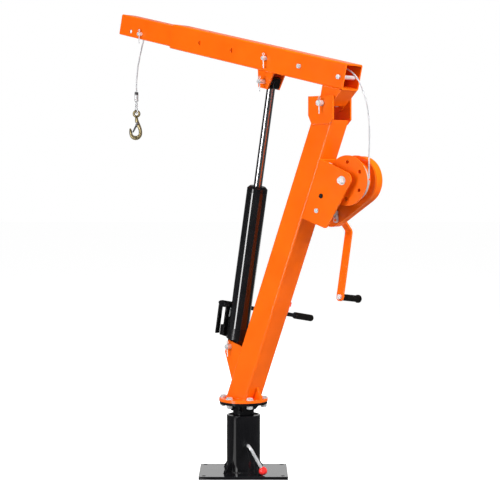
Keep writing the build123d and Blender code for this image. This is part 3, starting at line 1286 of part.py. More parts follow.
loop_face = Vector(cos(radians(LOOP_TURN)), sin(radians(LOOP_TURN)), 0)
LOOP = Plane(HOOK.origin, x_dir=(-loop_face.Y, loop_face.X, 0), z_dir=loop_face)
loop_low = EYE_RING_R - EYE_WIRE_R - CABLE_D / 2 - SLIP * 2
with BuildPart() as cable_loop:
    with BuildLine(LOOP) as loop_line:
        FilletPolyline(
            (LOOP_NECK, ferrule_low),
            (LOOP_NECK, ferrule_low - CABLE_D),
            (LOOP_R, loop_low + 2 * LOOP_R),
            (LOOP_R, loop_low),
            (-LOOP_R, loop_low),
            (-LOOP_R, loop_low + 2 * LOOP_R),
            (-LOOP_NECK, ferrule_low - CABLE_D),
            (-LOOP_NECK, ferrule_low),
            radius=[LOOP_BEND, LOOP_BEND, LOOP_R - RUNNING_FIT, LOOP_R - RUNNING_FIT, LOOP_BEND, LOOP_BEND],
        )
    with BuildSketch(Plane(loop_line.line @ 0, z_dir=loop_line.line % 0)):
        Circle(CABLE_D / 2)
    sweep()
save(cable_loop, "cable_loop")

# Hook: a round bar bent into a bowl under an eye ring, its mouth to the left
bowl_left = HOOK_BACK - 2 * HOOK_BOWL_R
hook_route = [
    (0, -EYE_RING_R),
    (0, -HOOK_NECK),
    (HOOK_BACK, -HOOK_SHOULDER),
    (HOOK_BACK, -HOOK_DROP),
    (bowl_left, -HOOK_DROP),
    (bowl_left, -HOOK_TIP),
]
with BuildPart(HOOK) as hook:
    with BuildLine(HOOK):
        FilletPolyline(*hook_route, radius=[HOOK_BEND, HOOK_BEND, HOOK_BOWL_R - SLIP, HOOK_BOWL_R - SLIP])
    with BuildSketch(Plane(at(HOOK, 0, -EYE_RING_R).origin, z_dir=(0, 0, -1))):
        Circle(HOOK_THICK / 2)
    sweep()
    fillet(hook.faces().sort_by(Axis(HOOK.origin, HOOK.x_dir))[0].edges(), HOOK_EDGE)
    Torus(EYE_RING_R, EYE_WIRE_R)
    with BuildSketch(at(HOOK, *LATCH_PIVOT)):
        Circle(LATCH_PIN_D / 2 + RUNNING_FIT)
    extrude(amount=HOOK_THICK, both=True, mode=Mode.SUBTRACT)
save(hook, "hook")

# Latch: two cheeks beside the shank, joined by a bar just inside the hook's tip
latch_half = HOOK_THICK / 2 + SLIP + LATCH_SHEET
latch_end = (bowl_left + HOOK_THICK / 2 + LATCH_BAR_D / 2 + SLIP, -HOOK_TIP - LATCH_BAR_D)
with BuildPart() as hook_latch:
    for start in (latch_half - LATCH_SHEET, -latch_half):
        with BuildSketch(HOOK.offset(start)):
            with Locations(LATCH_PIVOT):
                Circle(LATCH_PIN_D)
            with Locations(latch_end):
                Circle(LATCH_BAR_D / 2)
            make_hull()
        extrude(amount=LATCH_SHEET)
    for spot, radius in ((LATCH_PIVOT, LATCH_PIN_D / 2), (latch_end, LATCH_BAR_D / 2)):
        add(across(HOOK, *spot, radius, -latch_half, latch_half))
save(hook_latch, "hook_latch")
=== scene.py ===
import math

import bmesh
import bpy
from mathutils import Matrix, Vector


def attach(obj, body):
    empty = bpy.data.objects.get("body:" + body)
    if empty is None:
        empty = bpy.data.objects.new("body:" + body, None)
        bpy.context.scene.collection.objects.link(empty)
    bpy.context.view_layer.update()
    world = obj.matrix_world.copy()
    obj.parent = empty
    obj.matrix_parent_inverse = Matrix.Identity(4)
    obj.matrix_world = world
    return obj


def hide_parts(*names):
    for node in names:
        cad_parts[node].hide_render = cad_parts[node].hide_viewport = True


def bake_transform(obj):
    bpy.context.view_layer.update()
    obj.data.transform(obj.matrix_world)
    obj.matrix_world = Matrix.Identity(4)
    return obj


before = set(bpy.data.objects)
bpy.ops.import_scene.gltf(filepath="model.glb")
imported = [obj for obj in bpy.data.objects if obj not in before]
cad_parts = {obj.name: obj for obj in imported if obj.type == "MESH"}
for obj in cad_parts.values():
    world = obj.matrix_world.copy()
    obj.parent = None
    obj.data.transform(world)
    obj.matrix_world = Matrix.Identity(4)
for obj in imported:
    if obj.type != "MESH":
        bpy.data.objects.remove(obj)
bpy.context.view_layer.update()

# Base plate: a flat of rolled steel with four floor bolt holes, stove-enamelled gloss black.
# The enamel pulls thin and grey along the cut edges and keeps a faint orange peel.


def blank_finish(name):
    """A new finish: its material, its nodes, its links and its shader."""
    finish = bpy.data.materials.new(name)
    finish.use_nodes = True
    tree = finish.node_tree
    return finish, tree.nodes, tree.links, tree.nodes["Principled BSDF"]


def noise(nodes, links, scale, detail):
    """Noise over the piece's own place, with that many grains to the metre."""
    place = nodes.new("ShaderNodeTexCoord")
    grain = nodes.new("ShaderNodeTexNoise")
    grain.inputs["Scale"].default_value = scale
    grain.inputs["Detail"].default_value = detail
    links.new(place.outputs["Object"], grain.inputs["Vector"])
    return grain.outputs["Fac"]


def shades(nodes, links, source, *stops):
    """A ramp from a grey value to colours, each stop a place and a colour."""
    ramp = nodes.new("ShaderNodeValToRGB")
    while len(ramp.color_ramp.elements) < len(stops):
        ramp.color_ramp.elements.new(0.5)
    for element, (spot, colour) in zip(ramp.color_ramp.elements, stops):
        element.position = spot
        element.color = (*colour, 1)
    links.new(source, ramp.inputs["Fac"])
    return ramp.outputs["Color"]


def between(nodes, links, source, low, high, start=0.3, end=0.7):
    """A grey value brought into a range."""
    span = nodes.new("ShaderNodeMapRange")
    span.inputs["From Min"].default_value = start
    span.inputs["From Max"].default_value = end
    span.inputs["To Min"].default_value = low
    span.inputs["To Max"].default_value = high
    links.new(source, span.inputs["Value"])
    return span.outputs["Result"]


def sum_of(nodes, links, operation, first, second):
    """Two grey values, or one and a number, put together by an operation."""
    step = nodes.new("ShaderNodeMath")
    step.operation = operation
    links.new(first, step.inputs[0])
    if isinstance(second, (int, float)):
        step.inputs[1].default_value = second
    else:
        links.new(second, step.inputs[1])
    return step.outputs["Value"]


EDGE_TURNED, EDGE_FLAT = 0.85, 0.985


def soft_edges(nodes, links, radius):
    """Slightly rounded normals along every edge, and a mask of those edges."""
    rounding = nodes.new("ShaderNodeBevel")
    rounding.samples = 6
    rounding.inputs["Radius"].default_value = radius
    flat = nodes.new("ShaderNodeNewGeometry")
    turn = nodes.new("ShaderNodeVectorMath")
    turn.operation = "DOT_PRODUCT"
    links.new(rounding.outputs["Normal"], turn.inputs[0])
    links.new(flat.outputs["Normal"], turn.inputs[1])
    mask = between(nodes, links, turn.outputs["Value"], 1, 0, EDGE_TURNED, EDGE_FLAT)
    return rounding.outputs["Normal"], mask


def relief(nodes, links, shader, source, normal, depth, strength):
    """Fine relief on a surface, over its rounded normals."""
    bump = nodes.new("ShaderNodeBump")
    bump.inputs["Strength"].default_value = strength
    bump.inputs["Distance"].default_value = depth
    links.new(source, bump.inputs["Height"])
    links.new(normal, bump.inputs["Normal"])
    links.new(bump.outputs["Normal"], shader.inputs["Normal"])


MIX_SHARE, MIX_FIRST, MIX_SECOND, MIX_COLOUR = 0, 6, 7, 2


def blended(nodes, links, share, first, second):
    """Two colours mixed by a mask, through the colour sockets of a mix node."""
    mix = nodes.new("ShaderNodeMix")
    mix.data_type = "RGBA"
    links.new(share, mix.inputs[MIX_SHARE])
    links.new(first, mix.inputs[MIX_FIRST])
    mix.inputs[MIX_SECOND].default_value = (*second, 1)
    return mix.outputs[MIX_COLOUR]


def enamel(name, deep, light, edge, gloss, peel=330, peel_depth=0.00012):
    """Stove enamel on steel: cloudy colour, orange peel and a thin coat along the edges."""
    finish, nodes, links, shader = blank_finish(name)
    clouds = noise(nodes, links, 9, 4)
    body = shades(nodes, links, clouds, (0.3, deep), (0.7, light))
    normal, edges = soft_edges(nodes, links, 0.0014)
    chips = between(nodes, links, noise(nodes, links, 60, 3), 0.1, 0.8)
    thin = sum_of(nodes, links, "MULTIPLY", edges, chips)
    links.new(blended(nodes, links, thin, body, edge), shader.inputs["Base Color"])
    smear = between(nodes, links, noise(nodes, links, 26, 5), gloss, gloss + 0.06)
    links.new(smear, shader.inputs["Roughness"])
    relief(nodes, links, shader, noise(nodes, links, peel, 1), normal, peel_depth, 0.08)
    return finish


def dress(finish, *names):
    """Puts a finish on CAD nodes, whose shapes stay as they are."""
    for name in names:
        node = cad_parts[name]
        for slot in node.material_slots:
            slot.material = finish


DEEP_BLACK, PALE_BLACK = (0.004, 0.004, 0.005), (0.008, 0.008, 0.009)
black_enamel = enamel("black_enamel", DEEP_BLACK, PALE_BLACK, (0.045, 0.045, 0.047), 0.05)
dress(black_enamel, "base_plate")

# Post: a length of thick pipe with four gussets and the hexagon boss of the lock screw,
# welded to the plate with a rippled bead all round and enamelled with it.
MM = 0.001
TURN = 2 * math.pi
PLATE_TOP = 10
POST_R = 54
GUSSET_REACH, GUSSET_UP, GUSSET_HALF = 31, 43, 4
BEAD_SEAT = 0.6
RIPPLE_DEPTH = 0.13
dress(black_enamel, "post")


def bead_tree():
    """Welding as Geometry Nodes: a seam's edges become a curve, and a rippled round bead runs along it."""
    tree = bpy.data.node_groups.new("weld_bead", "GeometryNodeTree")
    tree.interface.new_socket("Seam", in_out="INPUT", socket_type="NodeSocketGeometry")
    for label in ("Bead radius", "Ripple pitch", "Ripple depth"):
        tree.interface.new_socket(label, in_out="INPUT", socket_type="NodeSocketFloat")
    tree.interface.new_socket("Finish", in_out="INPUT", socket_type="NodeSocketMaterial")
    tree.interface.new_socket("Bead", in_out="OUTPUT", socket_type="NodeSocketGeometry")
    nodes, links = tree.nodes, tree.links
    given = nodes.new("NodeGroupInput").outputs

    def worked(operation, first, second=None):
        """One step of the bead's arithmetic."""
        step = nodes.new("ShaderNodeMath")
        step.operation = operation
        for socket, value in zip(step.inputs, (first, second)):
            if isinstance(value, (int, float)):
                socket.default_value = value
            elif value is not None:
                links.new(value, socket)
        return step.outputs["Value"]

    line = nodes.new("GeometryNodeMeshToCurve")
    links.new(given["Seam"], line.inputs["Mesh"])
    steps = nodes.new("GeometryNodeResampleCurve")
    steps.mode = "LENGTH"
    links.new(line.outputs["Curve"], steps.inputs["Curve"])
    links.new(worked("MULTIPLY", given["Ripple pitch"], 0.3), steps.inputs["Length"])
    along = nodes.new("GeometryNodeSplineParameter").outputs["Length"]
    turns = worked("DIVIDE", along, given["Ripple pitch"])
    ripple = worked("MULTIPLY", worked("SINE", worked("MULTIPLY", turns, TURN)), given["Ripple depth"])
    wander = nodes.new("ShaderNodeTexNoise")
    wander.inputs["Scale"].default_value = 120
    uneven = worked("ADD", worked("MULTIPLY", wander.outputs["Fac"], 0.5), 0.75)
    thick = worked("MULTIPLY", given["Bead radius"], worked("MULTIPLY", uneven, worked("ADD", ripple, 1)))
    ring = nodes.new("GeometryNodeCurvePrimitiveCircle")
    ring.inputs["Resolution"].default_value = 8
    ring.inputs["Radius"].default_value = 1
    skin = nodes.new("GeometryNodeCurveToMesh")
    skin.inputs["Fill Caps"].default_value = True
    links.new(steps.outputs["Curve"], skin.inputs["Curve"])
    links.new(thick, skin.inputs["Scale"])
    links.new(ring.outputs["Curve"], skin.inputs["Profile Curve"])
    smooth = nodes.new("GeometryNodeSetShadeSmooth")
    links.new(skin.outputs["Mesh"], smooth.inputs["Geometry"])
    real = nodes.new("GeometryNodeRealizeInstances")
    links.new(smooth.outputs["Geometry"], real.inputs["Geometry"])
    coat = nodes.new("GeometryNodeSetMaterial")
    links.new(real.outputs["Geometry"], coat.inputs["Geometry"])
    links.new(given["Finish"], coat.inputs["Material"])
    links.new(coat.outputs["Geometry"], nodes.new("NodeGroupOutput").inputs["Bead"])
    return tree


def grown(name, mesh, tree, sizes):
    """What a tree makes from a mesh and its named sizes, as a plain mesh piece."""
    holder = bpy.data.objects.new(name + "_seed", mesh)
    bpy.context.collection.objects.link(holder)
    modifier = holder.modifiers.new("made", "NODES")
    modifier.node_group = tree
    for label, value in sizes.items():
        modifier[tree.interface.items_tree[label].identifier] = value
    result = bpy.data.meshes.new_from_object(holder.evaluated_get(bpy.context.evaluated_depsgraph_get()))
    holder.modifiers.remove(modifier)
    bpy.data.objects.remove(holder)
    result.name = name
    piece = bpy.data.objects.new(name, result)
    bpy.context.collection.objects.link(piece)
    return piece


welding = bead_tree()


def weld(name, seams, radius, finish, body):
    """Beads along open seams, each a list of points in metres, riding on a body."""
    corners, edges = [], []
    for seam in seams:
        first = len(corners)
        corners += [tuple(point) for point in seam]
        edges += [(first + step, first + step + 1) for step in range(len(seam) - 1)]
    mesh = bpy.data.meshes.new(name + "_seams")
    mesh.from_pydata(corners, edges, [])
    bead_r = radius * MM
    sizes = {"Bead radius": bead_r, "Ripple pitch": bead_r, "Ripple depth": RIPPLE_DEPTH, "Finish": finish}
    bead = grown(name, mesh, welding, sizes)
    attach(bead, body)


def ringed(radius, height, steps=48):
    """A level ring of points, closed on itself."""
    turns = [TURN * step / steps for step in range(steps + 1)]
    return [Vector((radius * math.cos(a), radius * math.sin(a), height)) * MM for a in turns]


post_seams = [ringed(POST_R + BEAD_SEAT, PLATE_TOP + BEAD_SEAT)]
for quarter in range(4):
    gusset_turn = TURN * (quarter + 0.5) / 4
    out_way = Vector((math.cos(gusset_turn), math.sin(gusset_turn), 0))
    side_way = Vector((-out_way.y, out_way.x, 0))
    for side in (-GUSSET_HALF, GUSSET_HALF):
        line = [(POST_R, PLATE_TOP + GUSSET_UP), (POST_R, PLATE_TOP), (POST_R + GUSSET_REACH, PLATE_TOP)]
        post_seams.append([(out_way * r + side_way * side + Vector((0, 0, up))) * MM for r, up in line])
LOCK_HEADING = math.radians(-78)
LOCK_WAY = Vector((math.cos(LOCK_HEADING), math.sin(LOCK_HEADING), 0))
LOCK_SIDE = Vector((-math.sin(LOCK_HEADING), math.cos(LOCK_HEADING), 0))
LOCK_UP, BOSS_R = 102, 12.4
BOSS_STEPS = 32
boss_seam = []
for step in range(BOSS_STEPS + 1):
    boss_turn = TURN * step / BOSS_STEPS
    aside, rise = BOSS_R * math.cos(boss_turn), BOSS_R * math.sin(boss_turn)
    out = math.sqrt(POST_R ** 2 - aside ** 2)
    boss_seam.append((LOCK_WAY * out + LOCK_SIDE * aside + Vector((0, 0, LOCK_UP + rise))) * MM)
weld("post_welds", post_seams + [boss_seam], 2.6, black_enamel, "base")

# Swivel bearing: a bronze thrust disc in the foot of the post and two bronze bushes,
# machined all over and oiled, pressed in just under the post's rim.


def plated(name, dark, light, rough, grain, metal=1, depth=0.0002, blotches=55):
    """Bare or plated metal: blotches in its colour, fine marks in its polish, softened edges."""
    finish, nodes, links, shader = blank_finish(name)
    shader.inputs["Metallic"].default_value = metal
    blotch = noise(nodes, links, blotches, 5)
    links.new(shades(nodes, links, blotch, (0.32, dark), (0.68, light)), shader.inputs["Base Color"])
    marks = noise(nodes, links, grain, 4)
    links.new(between(nodes, links, marks, rough, rough + 0.16), shader.inputs["Roughness"])
    normal, _ = soft_edges(nodes, links, 0.0007)
    relief(nodes, links, shader, marks, normal, depth, 0.12)
    return finish


bronze = plated("oiled_bronze", (0.09, 0.07, 0.05), (0.17, 0.13, 0.09), 0.3, 240)
dress(bronze, "thrust_disc", "swivel_bushes")

# Swivel lock: a bright zinc-plated bar bent into a lever, screwed through the boss,
# with a glossy red phenolic ball pressed on its end.
bright_zinc = plated("bright_zinc", (0.66, 0.67, 0.69), (0.86, 0.86, 0.87), 0.24, 300, metal=0.5)
dress(bright_zinc, "lock_screw")


def moulded(name, deep, light, gloss, grain, depth):
    """Moulded plastic or rubber: faint flow marks and a fine skin grain."""
    finish, nodes, links, shader = blank_finish(name)
    flow = noise(nodes, links, 70, 3)
    links.new(shades(nodes, links, flow, (0.3, deep), (0.7, light)), shader.inputs["Base Color"])
    smear = between(nodes, links, noise(nodes, links, 160, 3), gloss, gloss + 0.1)
    links.new(smear, shader.inputs["Roughness"])
    normal, _ = soft_edges(nodes, links, 0.0008)
    relief(nodes, links, shader, noise(nodes, links, grain, 2), normal, depth, 0.25)
    return finish


red_phenolic = moulded("red_phenolic", (0.84, 0.028, 0.026), (0.95, 0.044, 0.04), 0.08, 260, 0.00004)
dress(red_phenolic, "lock_ball")

# Swivel stub: a short pipe with a ribbed flange, enamelled black, turning in the bushes.
# A bead runs round under the flange, between the ribs.
STUB_R, STUB_FLANGE_UP = 34, 229
dress(black_enamel, "swivel_stub")
stub_seam = ringed(STUB_R + BEAD_SEAT, STUB_FLANGE_UP - BEAD_SEAT)
weld("stub_weld", [stub_seam], 2.4, black_enamel, "mast")

# Mast flange: a turned steel ring with a gusset behind the mast's foot, enamelled orange
# with the mast it is welded to.
orange_enamel = enamel("orange_enamel", (0.85, 0.118, 0.002), (0.93, 0.138, 0.003), (1.0, 0.3, 0.02), 0.14)
dress(orange_enamel, "mast_flange")

# Flange bolts and nuts: six zinc-plated hexagon bolts hold the flange to the stub, each
# with a washer under its chamfered head, a nut below and a few turns of thread showing.
HEADING = math.radians(138)
BOLTS = 6
BOLT_CIRCLE_R = 67
BOLT_R = 6
ACROSS_FLATS = 18
FLANGE_TOP, FLANGE_UNDER = 247, 229
BOLT_TIP, TIP_TAPER = 217.4, 1.2
HEAD_THICK, NUT_THICK = 7.5, 10
WASHER_R, WASHER_THICK = 12, 1.6
WASHER_BREAK, WASHER_TOP_BREAK = 0.4, 0.3
THREAD, THREAD_DEEP, THREAD_START, RIDGES = 1.75, 0.8, 1.5, 16
HEX_POINTS = 24
TURNED_SHARE, CHAMFER_FALL, SQUARE_STEP = 0.96, 0.5, 0.05


def hexagon_r(angle, flats):
    """How far a hexagon reaches at an angle, for its size across flats."""
    sixth = TURN / 6
    return flats / 2 / math.cos((angle + sixth / 2) % sixth - sixth / 2)


def hexagon_rings(flats, foot, top, chamfer_foot, chamfer_top):
    """Rings of a hexagon head or nut, its corners turned off at the ends that are chamfered."""
    turned_r = flats / 2 * TURNED_SHARE
    foot_ring, low_ring, high_ring, top_ring = [], [], [], []
    for step in range(HEX_POINTS):
        angle = TURN * step / HEX_POINTS
        reach = hexagon_r(angle, flats)
        fall = (reach - turned_r) * CHAMFER_FALL
        foot_ring.append((angle, turned_r if chamfer_foot else reach, foot))
        low_ring.append((angle, reach, foot + (fall if chamfer_foot else SQUARE_STEP)))
        high_ring.append((angle, reach, top - (fall if chamfer_top else SQUARE_STEP)))
        top_ring.append((angle, turned_r if chamfer_top else reach, top))
    return [foot_ring, low_ring, high_ring, top_ring]


def round_ring(radius, height):
    """One round ring with as many points as a hexagon ring."""
    return [(TURN * step / HEX_POINTS, radius, height) for step in range(HEX_POINTS)]


def shell(name, stacks, aside):
    """A mesh of closed stacks of rings about an upright line that stands aside from the middle."""
    corners, faces = [], []
    for rings in stacks:
        base = len(corners)
        for ring in rings:
            corners += [((r * math.cos(a) + aside) * MM, r * math.sin(a) * MM, up * MM) for a, r, up in ring]
        for level in range(len(rings) - 1):
            for step in range(HEX_POINTS):
                following = (step + 1) % HEX_POINTS
                low, high = base + level * HEX_POINTS, base + (level + 1) * HEX_POINTS
                faces.append((low + step, low + following, high + following, high + step))
        top = base + (len(rings) - 1) * HEX_POINTS
        faces.append(tuple(range(base, base + HEX_POINTS))[::-1])
        faces.append(tuple(range(top, top + HEX_POINTS)))
    mesh = bpy.data.meshes.new(name)
    mesh.from_pydata(corners, [], faces)
    return mesh


def circle_tree():
    """A bolt circle as Geometry Nodes: the piece given is set out evenly round the upright axis."""
    tree = bpy.data.node_groups.new("bolt_circle", "GeometryNodeTree")
    tree.interface.new_socket("Bolt", in_out="INPUT", socket_type="NodeSocketGeometry")
    tree.interface.new_socket("Count", in_out="INPUT", socket_type="NodeSocketInt")
    tree.interface.new_socket("First angle", in_out="INPUT", socket_type="NodeSocketFloat")
    tree.interface.new_socket("Finish", in_out="INPUT", socket_type="NodeSocketMaterial")
    tree.interface.new_socket("Set", in_out="OUTPUT", socket_type="NodeSocketGeometry")
    nodes, links = tree.nodes, tree.links
    given = nodes.new("NodeGroupInput").outputs
    places = nodes.new("GeometryNodePoints")
    links.new(given["Count"], places.inputs["Count"])
    share = nodes.new("ShaderNodeMath")
    share.operation = "DIVIDE"
    links.new(nodes.new("GeometryNodeInputIndex").outputs["Index"], share.inputs[0])
    links.new(given["Count"], share.inputs[1])
    angle = nodes.new("ShaderNodeMath")
    angle.operation = "MULTIPLY_ADD"
    links.new(share.outputs["Value"], angle.inputs[0])
    angle.inputs[1].default_value = TURN
    links.new(given["First angle"], angle.inputs[2])
    about = nodes.new("ShaderNodeCombineXYZ")
    links.new(angle.outputs["Value"], about.inputs["Z"])
    spin = nodes.new("FunctionNodeEulerToRotation")
    links.new(about.outputs["Vector"], spin.inputs["Euler"])
    copies = nodes.new("GeometryNodeInstanceOnPoints")
    links.new(places.outputs["Points"], copies.inputs["Points"])
    links.new(given["Bolt"], copies.inputs["Instance"])
    links.new(spin.outputs["Rotation"], copies.inputs["Rotation"])
    real = nodes.new("GeometryNodeRealizeInstances")
    links.new(copies.outputs["Instances"], real.inputs["Geometry"])
    coat = nodes.new("GeometryNodeSetMaterial")
    links.new(real.outputs["Geometry"], coat.inputs["Geometry"])
    links.new(given["Finish"], coat.inputs["Material"])
    links.new(coat.outputs["Geometry"], nodes.new("NodeGroupOutput").inputs["Set"])
    return tree


bolt_circle = circle_tree()
ring_sizes = {"Count": BOLTS, "First angle": HEADING + math.pi / BOLTS, "Finish": bright_zinc}
washer_top = FLANGE_TOP + WASHER_THICK
washer = [
    round_ring(WASHER_R - WASHER_BREAK, FLANGE_TOP),
    round_ring(WASHER_R, FLANGE_TOP + WASHER_BREAK),
    round_ring(WASHER_R, washer_top - WASHER_TOP_BREAK),
    round_ring(WASHER_R - WASHER_BREAK, washer_top),
]
head = hexagon_rings(ACROSS_FLATS, washer_top, FLANGE_TOP + HEAD_THICK, False, True)
shank = [round_ring(BOLT_R, FLANGE_TOP - 1)]
for ridge in range(RIDGES):
    level = FLANGE_TOP - THREAD_START - ridge * THREAD
    if level > BOLT_TIP + THREAD:
        shank += [round_ring(BOLT_R, level), round_ring(BOLT_R - THREAD_DEEP, level - THREAD / 2)]
shank.append(round_ring(BOLT_R - TIP_TAPER, BOLT_TIP))
bolt_mesh = shell("flange_bolt", [washer, head, shank[::-1]], BOLT_CIRCLE_R)
bolts = grown("flange_bolt_set", bolt_mesh, bolt_circle, ring_sizes)
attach(bolts, "mast")
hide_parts("flange_bolts")

nut = hexagon_rings(ACROSS_FLATS, FLANGE_UNDER - NUT_THICK, FLANGE_UNDER, True, False)
nut_mesh = shell("flange_nut", [nut], BOLT_CIRCLE_R)
nuts = grown("flange_nut_set", nut_mesh, bolt_circle, ring_sizes)
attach(nuts, "mast")
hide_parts("flange_nuts")

# Mast: a leaning square tube with two head plates for the boom's hinge and two plates
# for the jack's foot, all welded with rippled beads and enamelled orange together.
LEAN = math.radians(22)
TUBE_HALF = 40
TUBE_ROUND, CORNER_STEPS = 7, 4
FORK_FACES = (-30.4, -23.6, 23.6, 30.4)
FOOT_SEAM = (41.5, 163.5)
FORK_SEAT, HEAD_PLATE_SEAT = 0.4, 0.8
HEAD_PLATE_FOOT = ((-38, -54), (-30, -62.6), (40, -62.6), (45, -54))
forward = Vector((math.cos(HEADING), math.sin(HEADING), 0))
away = Vector((math.sin(HEADING), -math.cos(HEADING), 0))
upward = Vector((0, 0, 1))
dress(orange_enamel, "mast_tube", "head_plates", "jack_foot_plates")


def on_side(ahead, up, far=0):
    """A point of the crane's upright middle plane, from millimetres ahead, up and to the far side."""
    return (forward * ahead + upward * up + away * far) * MM


def on_mast(front, along, far=0):
    """A point from millimetres in front of the mast's middle line, up along it and to the far side."""
    ahead = front * math.cos(LEAN) - along * math.sin(LEAN)
    rise = front * math.sin(LEAN) + along * math.cos(LEAN)
    return on_side(ahead, FLANGE_TOP + rise, far)


def rounded_square(half_ahead, half_far, corner, height):
    """A level outline of a tube with rounded corners, closed on itself."""
    points = []
    for quarter, (ahead, far) in enumerate(((1, 1), (-1, 1), (-1, -1), (1, -1))):
        for step in range(CORNER_STEPS + 1):
            angle = TURN * (quarter + step / CORNER_STEPS) / 4
            x = ahead * (half_ahead - corner) + corner * math.cos(angle)
            z = far * (half_far - corner) + corner * math.sin(angle)
            points.append(on_side(x, height, z))
    return points + points[:1]


mast_seams = [rounded_square(TUBE_HALF / math.cos(LEAN), TUBE_HALF, TUBE_ROUND, FLANGE_TOP + BEAD_SEAT)]
PIN_AHEAD, PIN_UP = -360.67, 1182.4
for side in (-TUBE_HALF, TUBE_HALF):
    outward = HEAD_PLATE_SEAT if side > 0 else -HEAD_PLATE_SEAT
    mast_seams.append([on_side(PIN_AHEAD + x, PIN_UP + y, side + outward) for x, y in HEAD_PLATE_FOOT])
for far in FORK_FACES:
    mast_seams.append([on_mast(TUBE_HALF + FORK_SEAT, along, far) for along in FOOT_SEAM])
weld("mast_welds", mast_seams, 2.6, orange_enamel, "mast")

# Clevis pins and split pins: zinc-plated turned pins at the hinge, the jack's two ends, the
# extension and the tip, each kept in by a bent wire pin.
dress(bright_zinc, "hinge_pin", "foot_pin", "mast_pin_clips", "jack_top_pin", "extension_pin")
dress(bright_zinc, "boom_pin_clips", "tip_pin", "tip_clip")

# Boom: an outer square tube with hinge plates and jack ears welded under it, and the
# inner tube that slides in it, all enamelled orange.
PITCH = math.radians(13)
boom_rear = on_side(-432.779, 1219.12)
dress(orange_enamel, "boom_tube", "boom_hinge_plates", "jack_ears", "inner_boom")


def on_boom(along, up, far=0):
    """A point from millimetres along the boom, above its underside and to the far side."""
    ahead = along * math.cos(PITCH) - up * math.sin(PITCH)
    rise = along * math.sin(PITCH) + up * math.cos(PITCH)
    return boom_rear + on_side(ahead, rise, far)


HINGE_FACES, HINGE_SEAM = (-38.4, 38.4), (6, 74)
EAR_SEAM = (288, 352)
boom_seams = []
for faces_at, seam in ((HINGE_FACES, HINGE_SEAM), (FORK_FACES, EAR_SEAM)):
    for far in faces_at:
        boom_seams.append([on_boom(along, -FORK_SEAT, far) for along in seam])
weld("boom_welds", boom_seams, 2.2, orange_enamel, "boom")

# Boom bolts and rollers: the set bolt that clamps the inner boom, the rear roller's bolt
# and two turned steel rollers for the rope, all plated bright.
dress(bright_zinc, "boom_set_bolt", "rear_roller_bolt", "rear_roller", "tip_roller")

# Jack: a cast base with the pump's barrel, a drawn cylinder and a screwed gland cap,
# enamelled black, with a hard-chromed ram and its eye.
CAST_PEEL, CAST_DEPTH = 190, 0.002
black_casting = enamel(
    "black_casting", DEEP_BLACK, (0.009, 0.009, 0.01), (0.05, 0.05, 0.052), 0.2, CAST_PEEL, CAST_DEPTH
)
dress(black_casting, "jack_base", "ram_eye")
dress(black_enamel, "jack_cap")


def ground_round(name, dark, light, rough, metal):
    """A ground or drawn round bar: a clean shine with only faint clouds in its polish."""
    finish, nodes, links, shader = blank_finish(name)
    shader.inputs["Metallic"].default_value = metal
    shader.inputs["Specular IOR Level"].default_value = 1
    clouds = noise(nodes, links, 22, 3)
    links.new(shades(nodes, links, clouds, (0.3, dark), (0.7, light)), shader.inputs["Base Color"])
    smear = between(nodes, links, noise(nodes, links, 45, 4), rough, rough + 0.03)
    links.new(smear, shader.inputs["Roughness"])
    return finish


dress(ground_round("hard_chrome", (0.5, 0.5, 0.52), (0.58, 0.58, 0.6), 0.2, 1), "jack_ram")
dress(ground_round("drawn_enamel", DEEP_BLACK, PALE_BLACK, 0.06, 0), "jack_cylinder")

# Pump: two black links, the rocker that takes the handle, and a bright steel plunger. The
# handle is a black tube with a rubber grip, and a knobbed pin joins its two halves.
dress(black_enamel, "pump_links", "pump_rocker", "pump_handle")
dress(bright_zinc, "pump_plunger")
black_rubber = moulded("black_rubber", (0.004, 0.0035, 0.003), (0.007, 0.006, 0.005), 0.42, 500, 0.0002)
dress(black_rubber, "handle_grip")
dress(red_phenolic, "handle_knob")

# Winch: a folded frame and a pressed gear cover, enamelled orange, with the drum between
# them on its axle. The layshaft is blackened steel and the other ends are plated.
dress(orange_enamel, "winch_frame", "gear_cover", "winch_drum")
black_oxide = plated("black_oxide", (0.012, 0.012, 0.013), (0.03, 0.03, 0.032), 0.3, 240)
dress(black_oxide, "layshaft")
dress(bright_zinc, "winch_bolts", "drum_axle", "crank_shaft", "pawl")

# Crank: a bent flat bar, enamelled orange, held on its shaft by a plated nut, with a
# rubber grip that turns on a plated spindle.
dress(orange_enamel, "crank_arm")
dress(bright_zinc, "crank_fasteners")
dress(black_rubber, "crank_grip")

# Wire rope: six strands of bright galvanised wire, laid side by side round one line. It winds
# on the drum, arches over the rear roller, and runs through both booms to the tip and down.


def smooth_line(points):
    """Points read from the NURBS spline that has a route's points as its control points."""
    curve = bpy.data.curves.new("route", "CURVE")
    curve.dimensions = "3D"
    curve.resolution_u = 32
    spline = curve.splines.new("NURBS")
    spline.points.add(len(points) - 1)
    for control, point in zip(spline.points, points):
        control.co = (*point, 1)
    spline.order_u = 3
    spline.use_endpoint_u = True
    holder = bpy.data.objects.new("route", curve)
    bpy.context.collection.objects.link(holder)
    line = bpy.data.meshes.new_from_object(holder.evaluated_get(bpy.context.evaluated_depsgraph_get()))
    found = [vertex.co.copy() for vertex in line.vertices]
    bpy.data.objects.remove(holder)
    return found


ROPE = 5 * MM
STRANDS = 6
STRAND_OUT, STRAND_R = ROPE / 3, ROPE / 6
STRAND_SIDES = 7
LAY = 6.5 * ROPE
STOPS_IN_LAY = 14


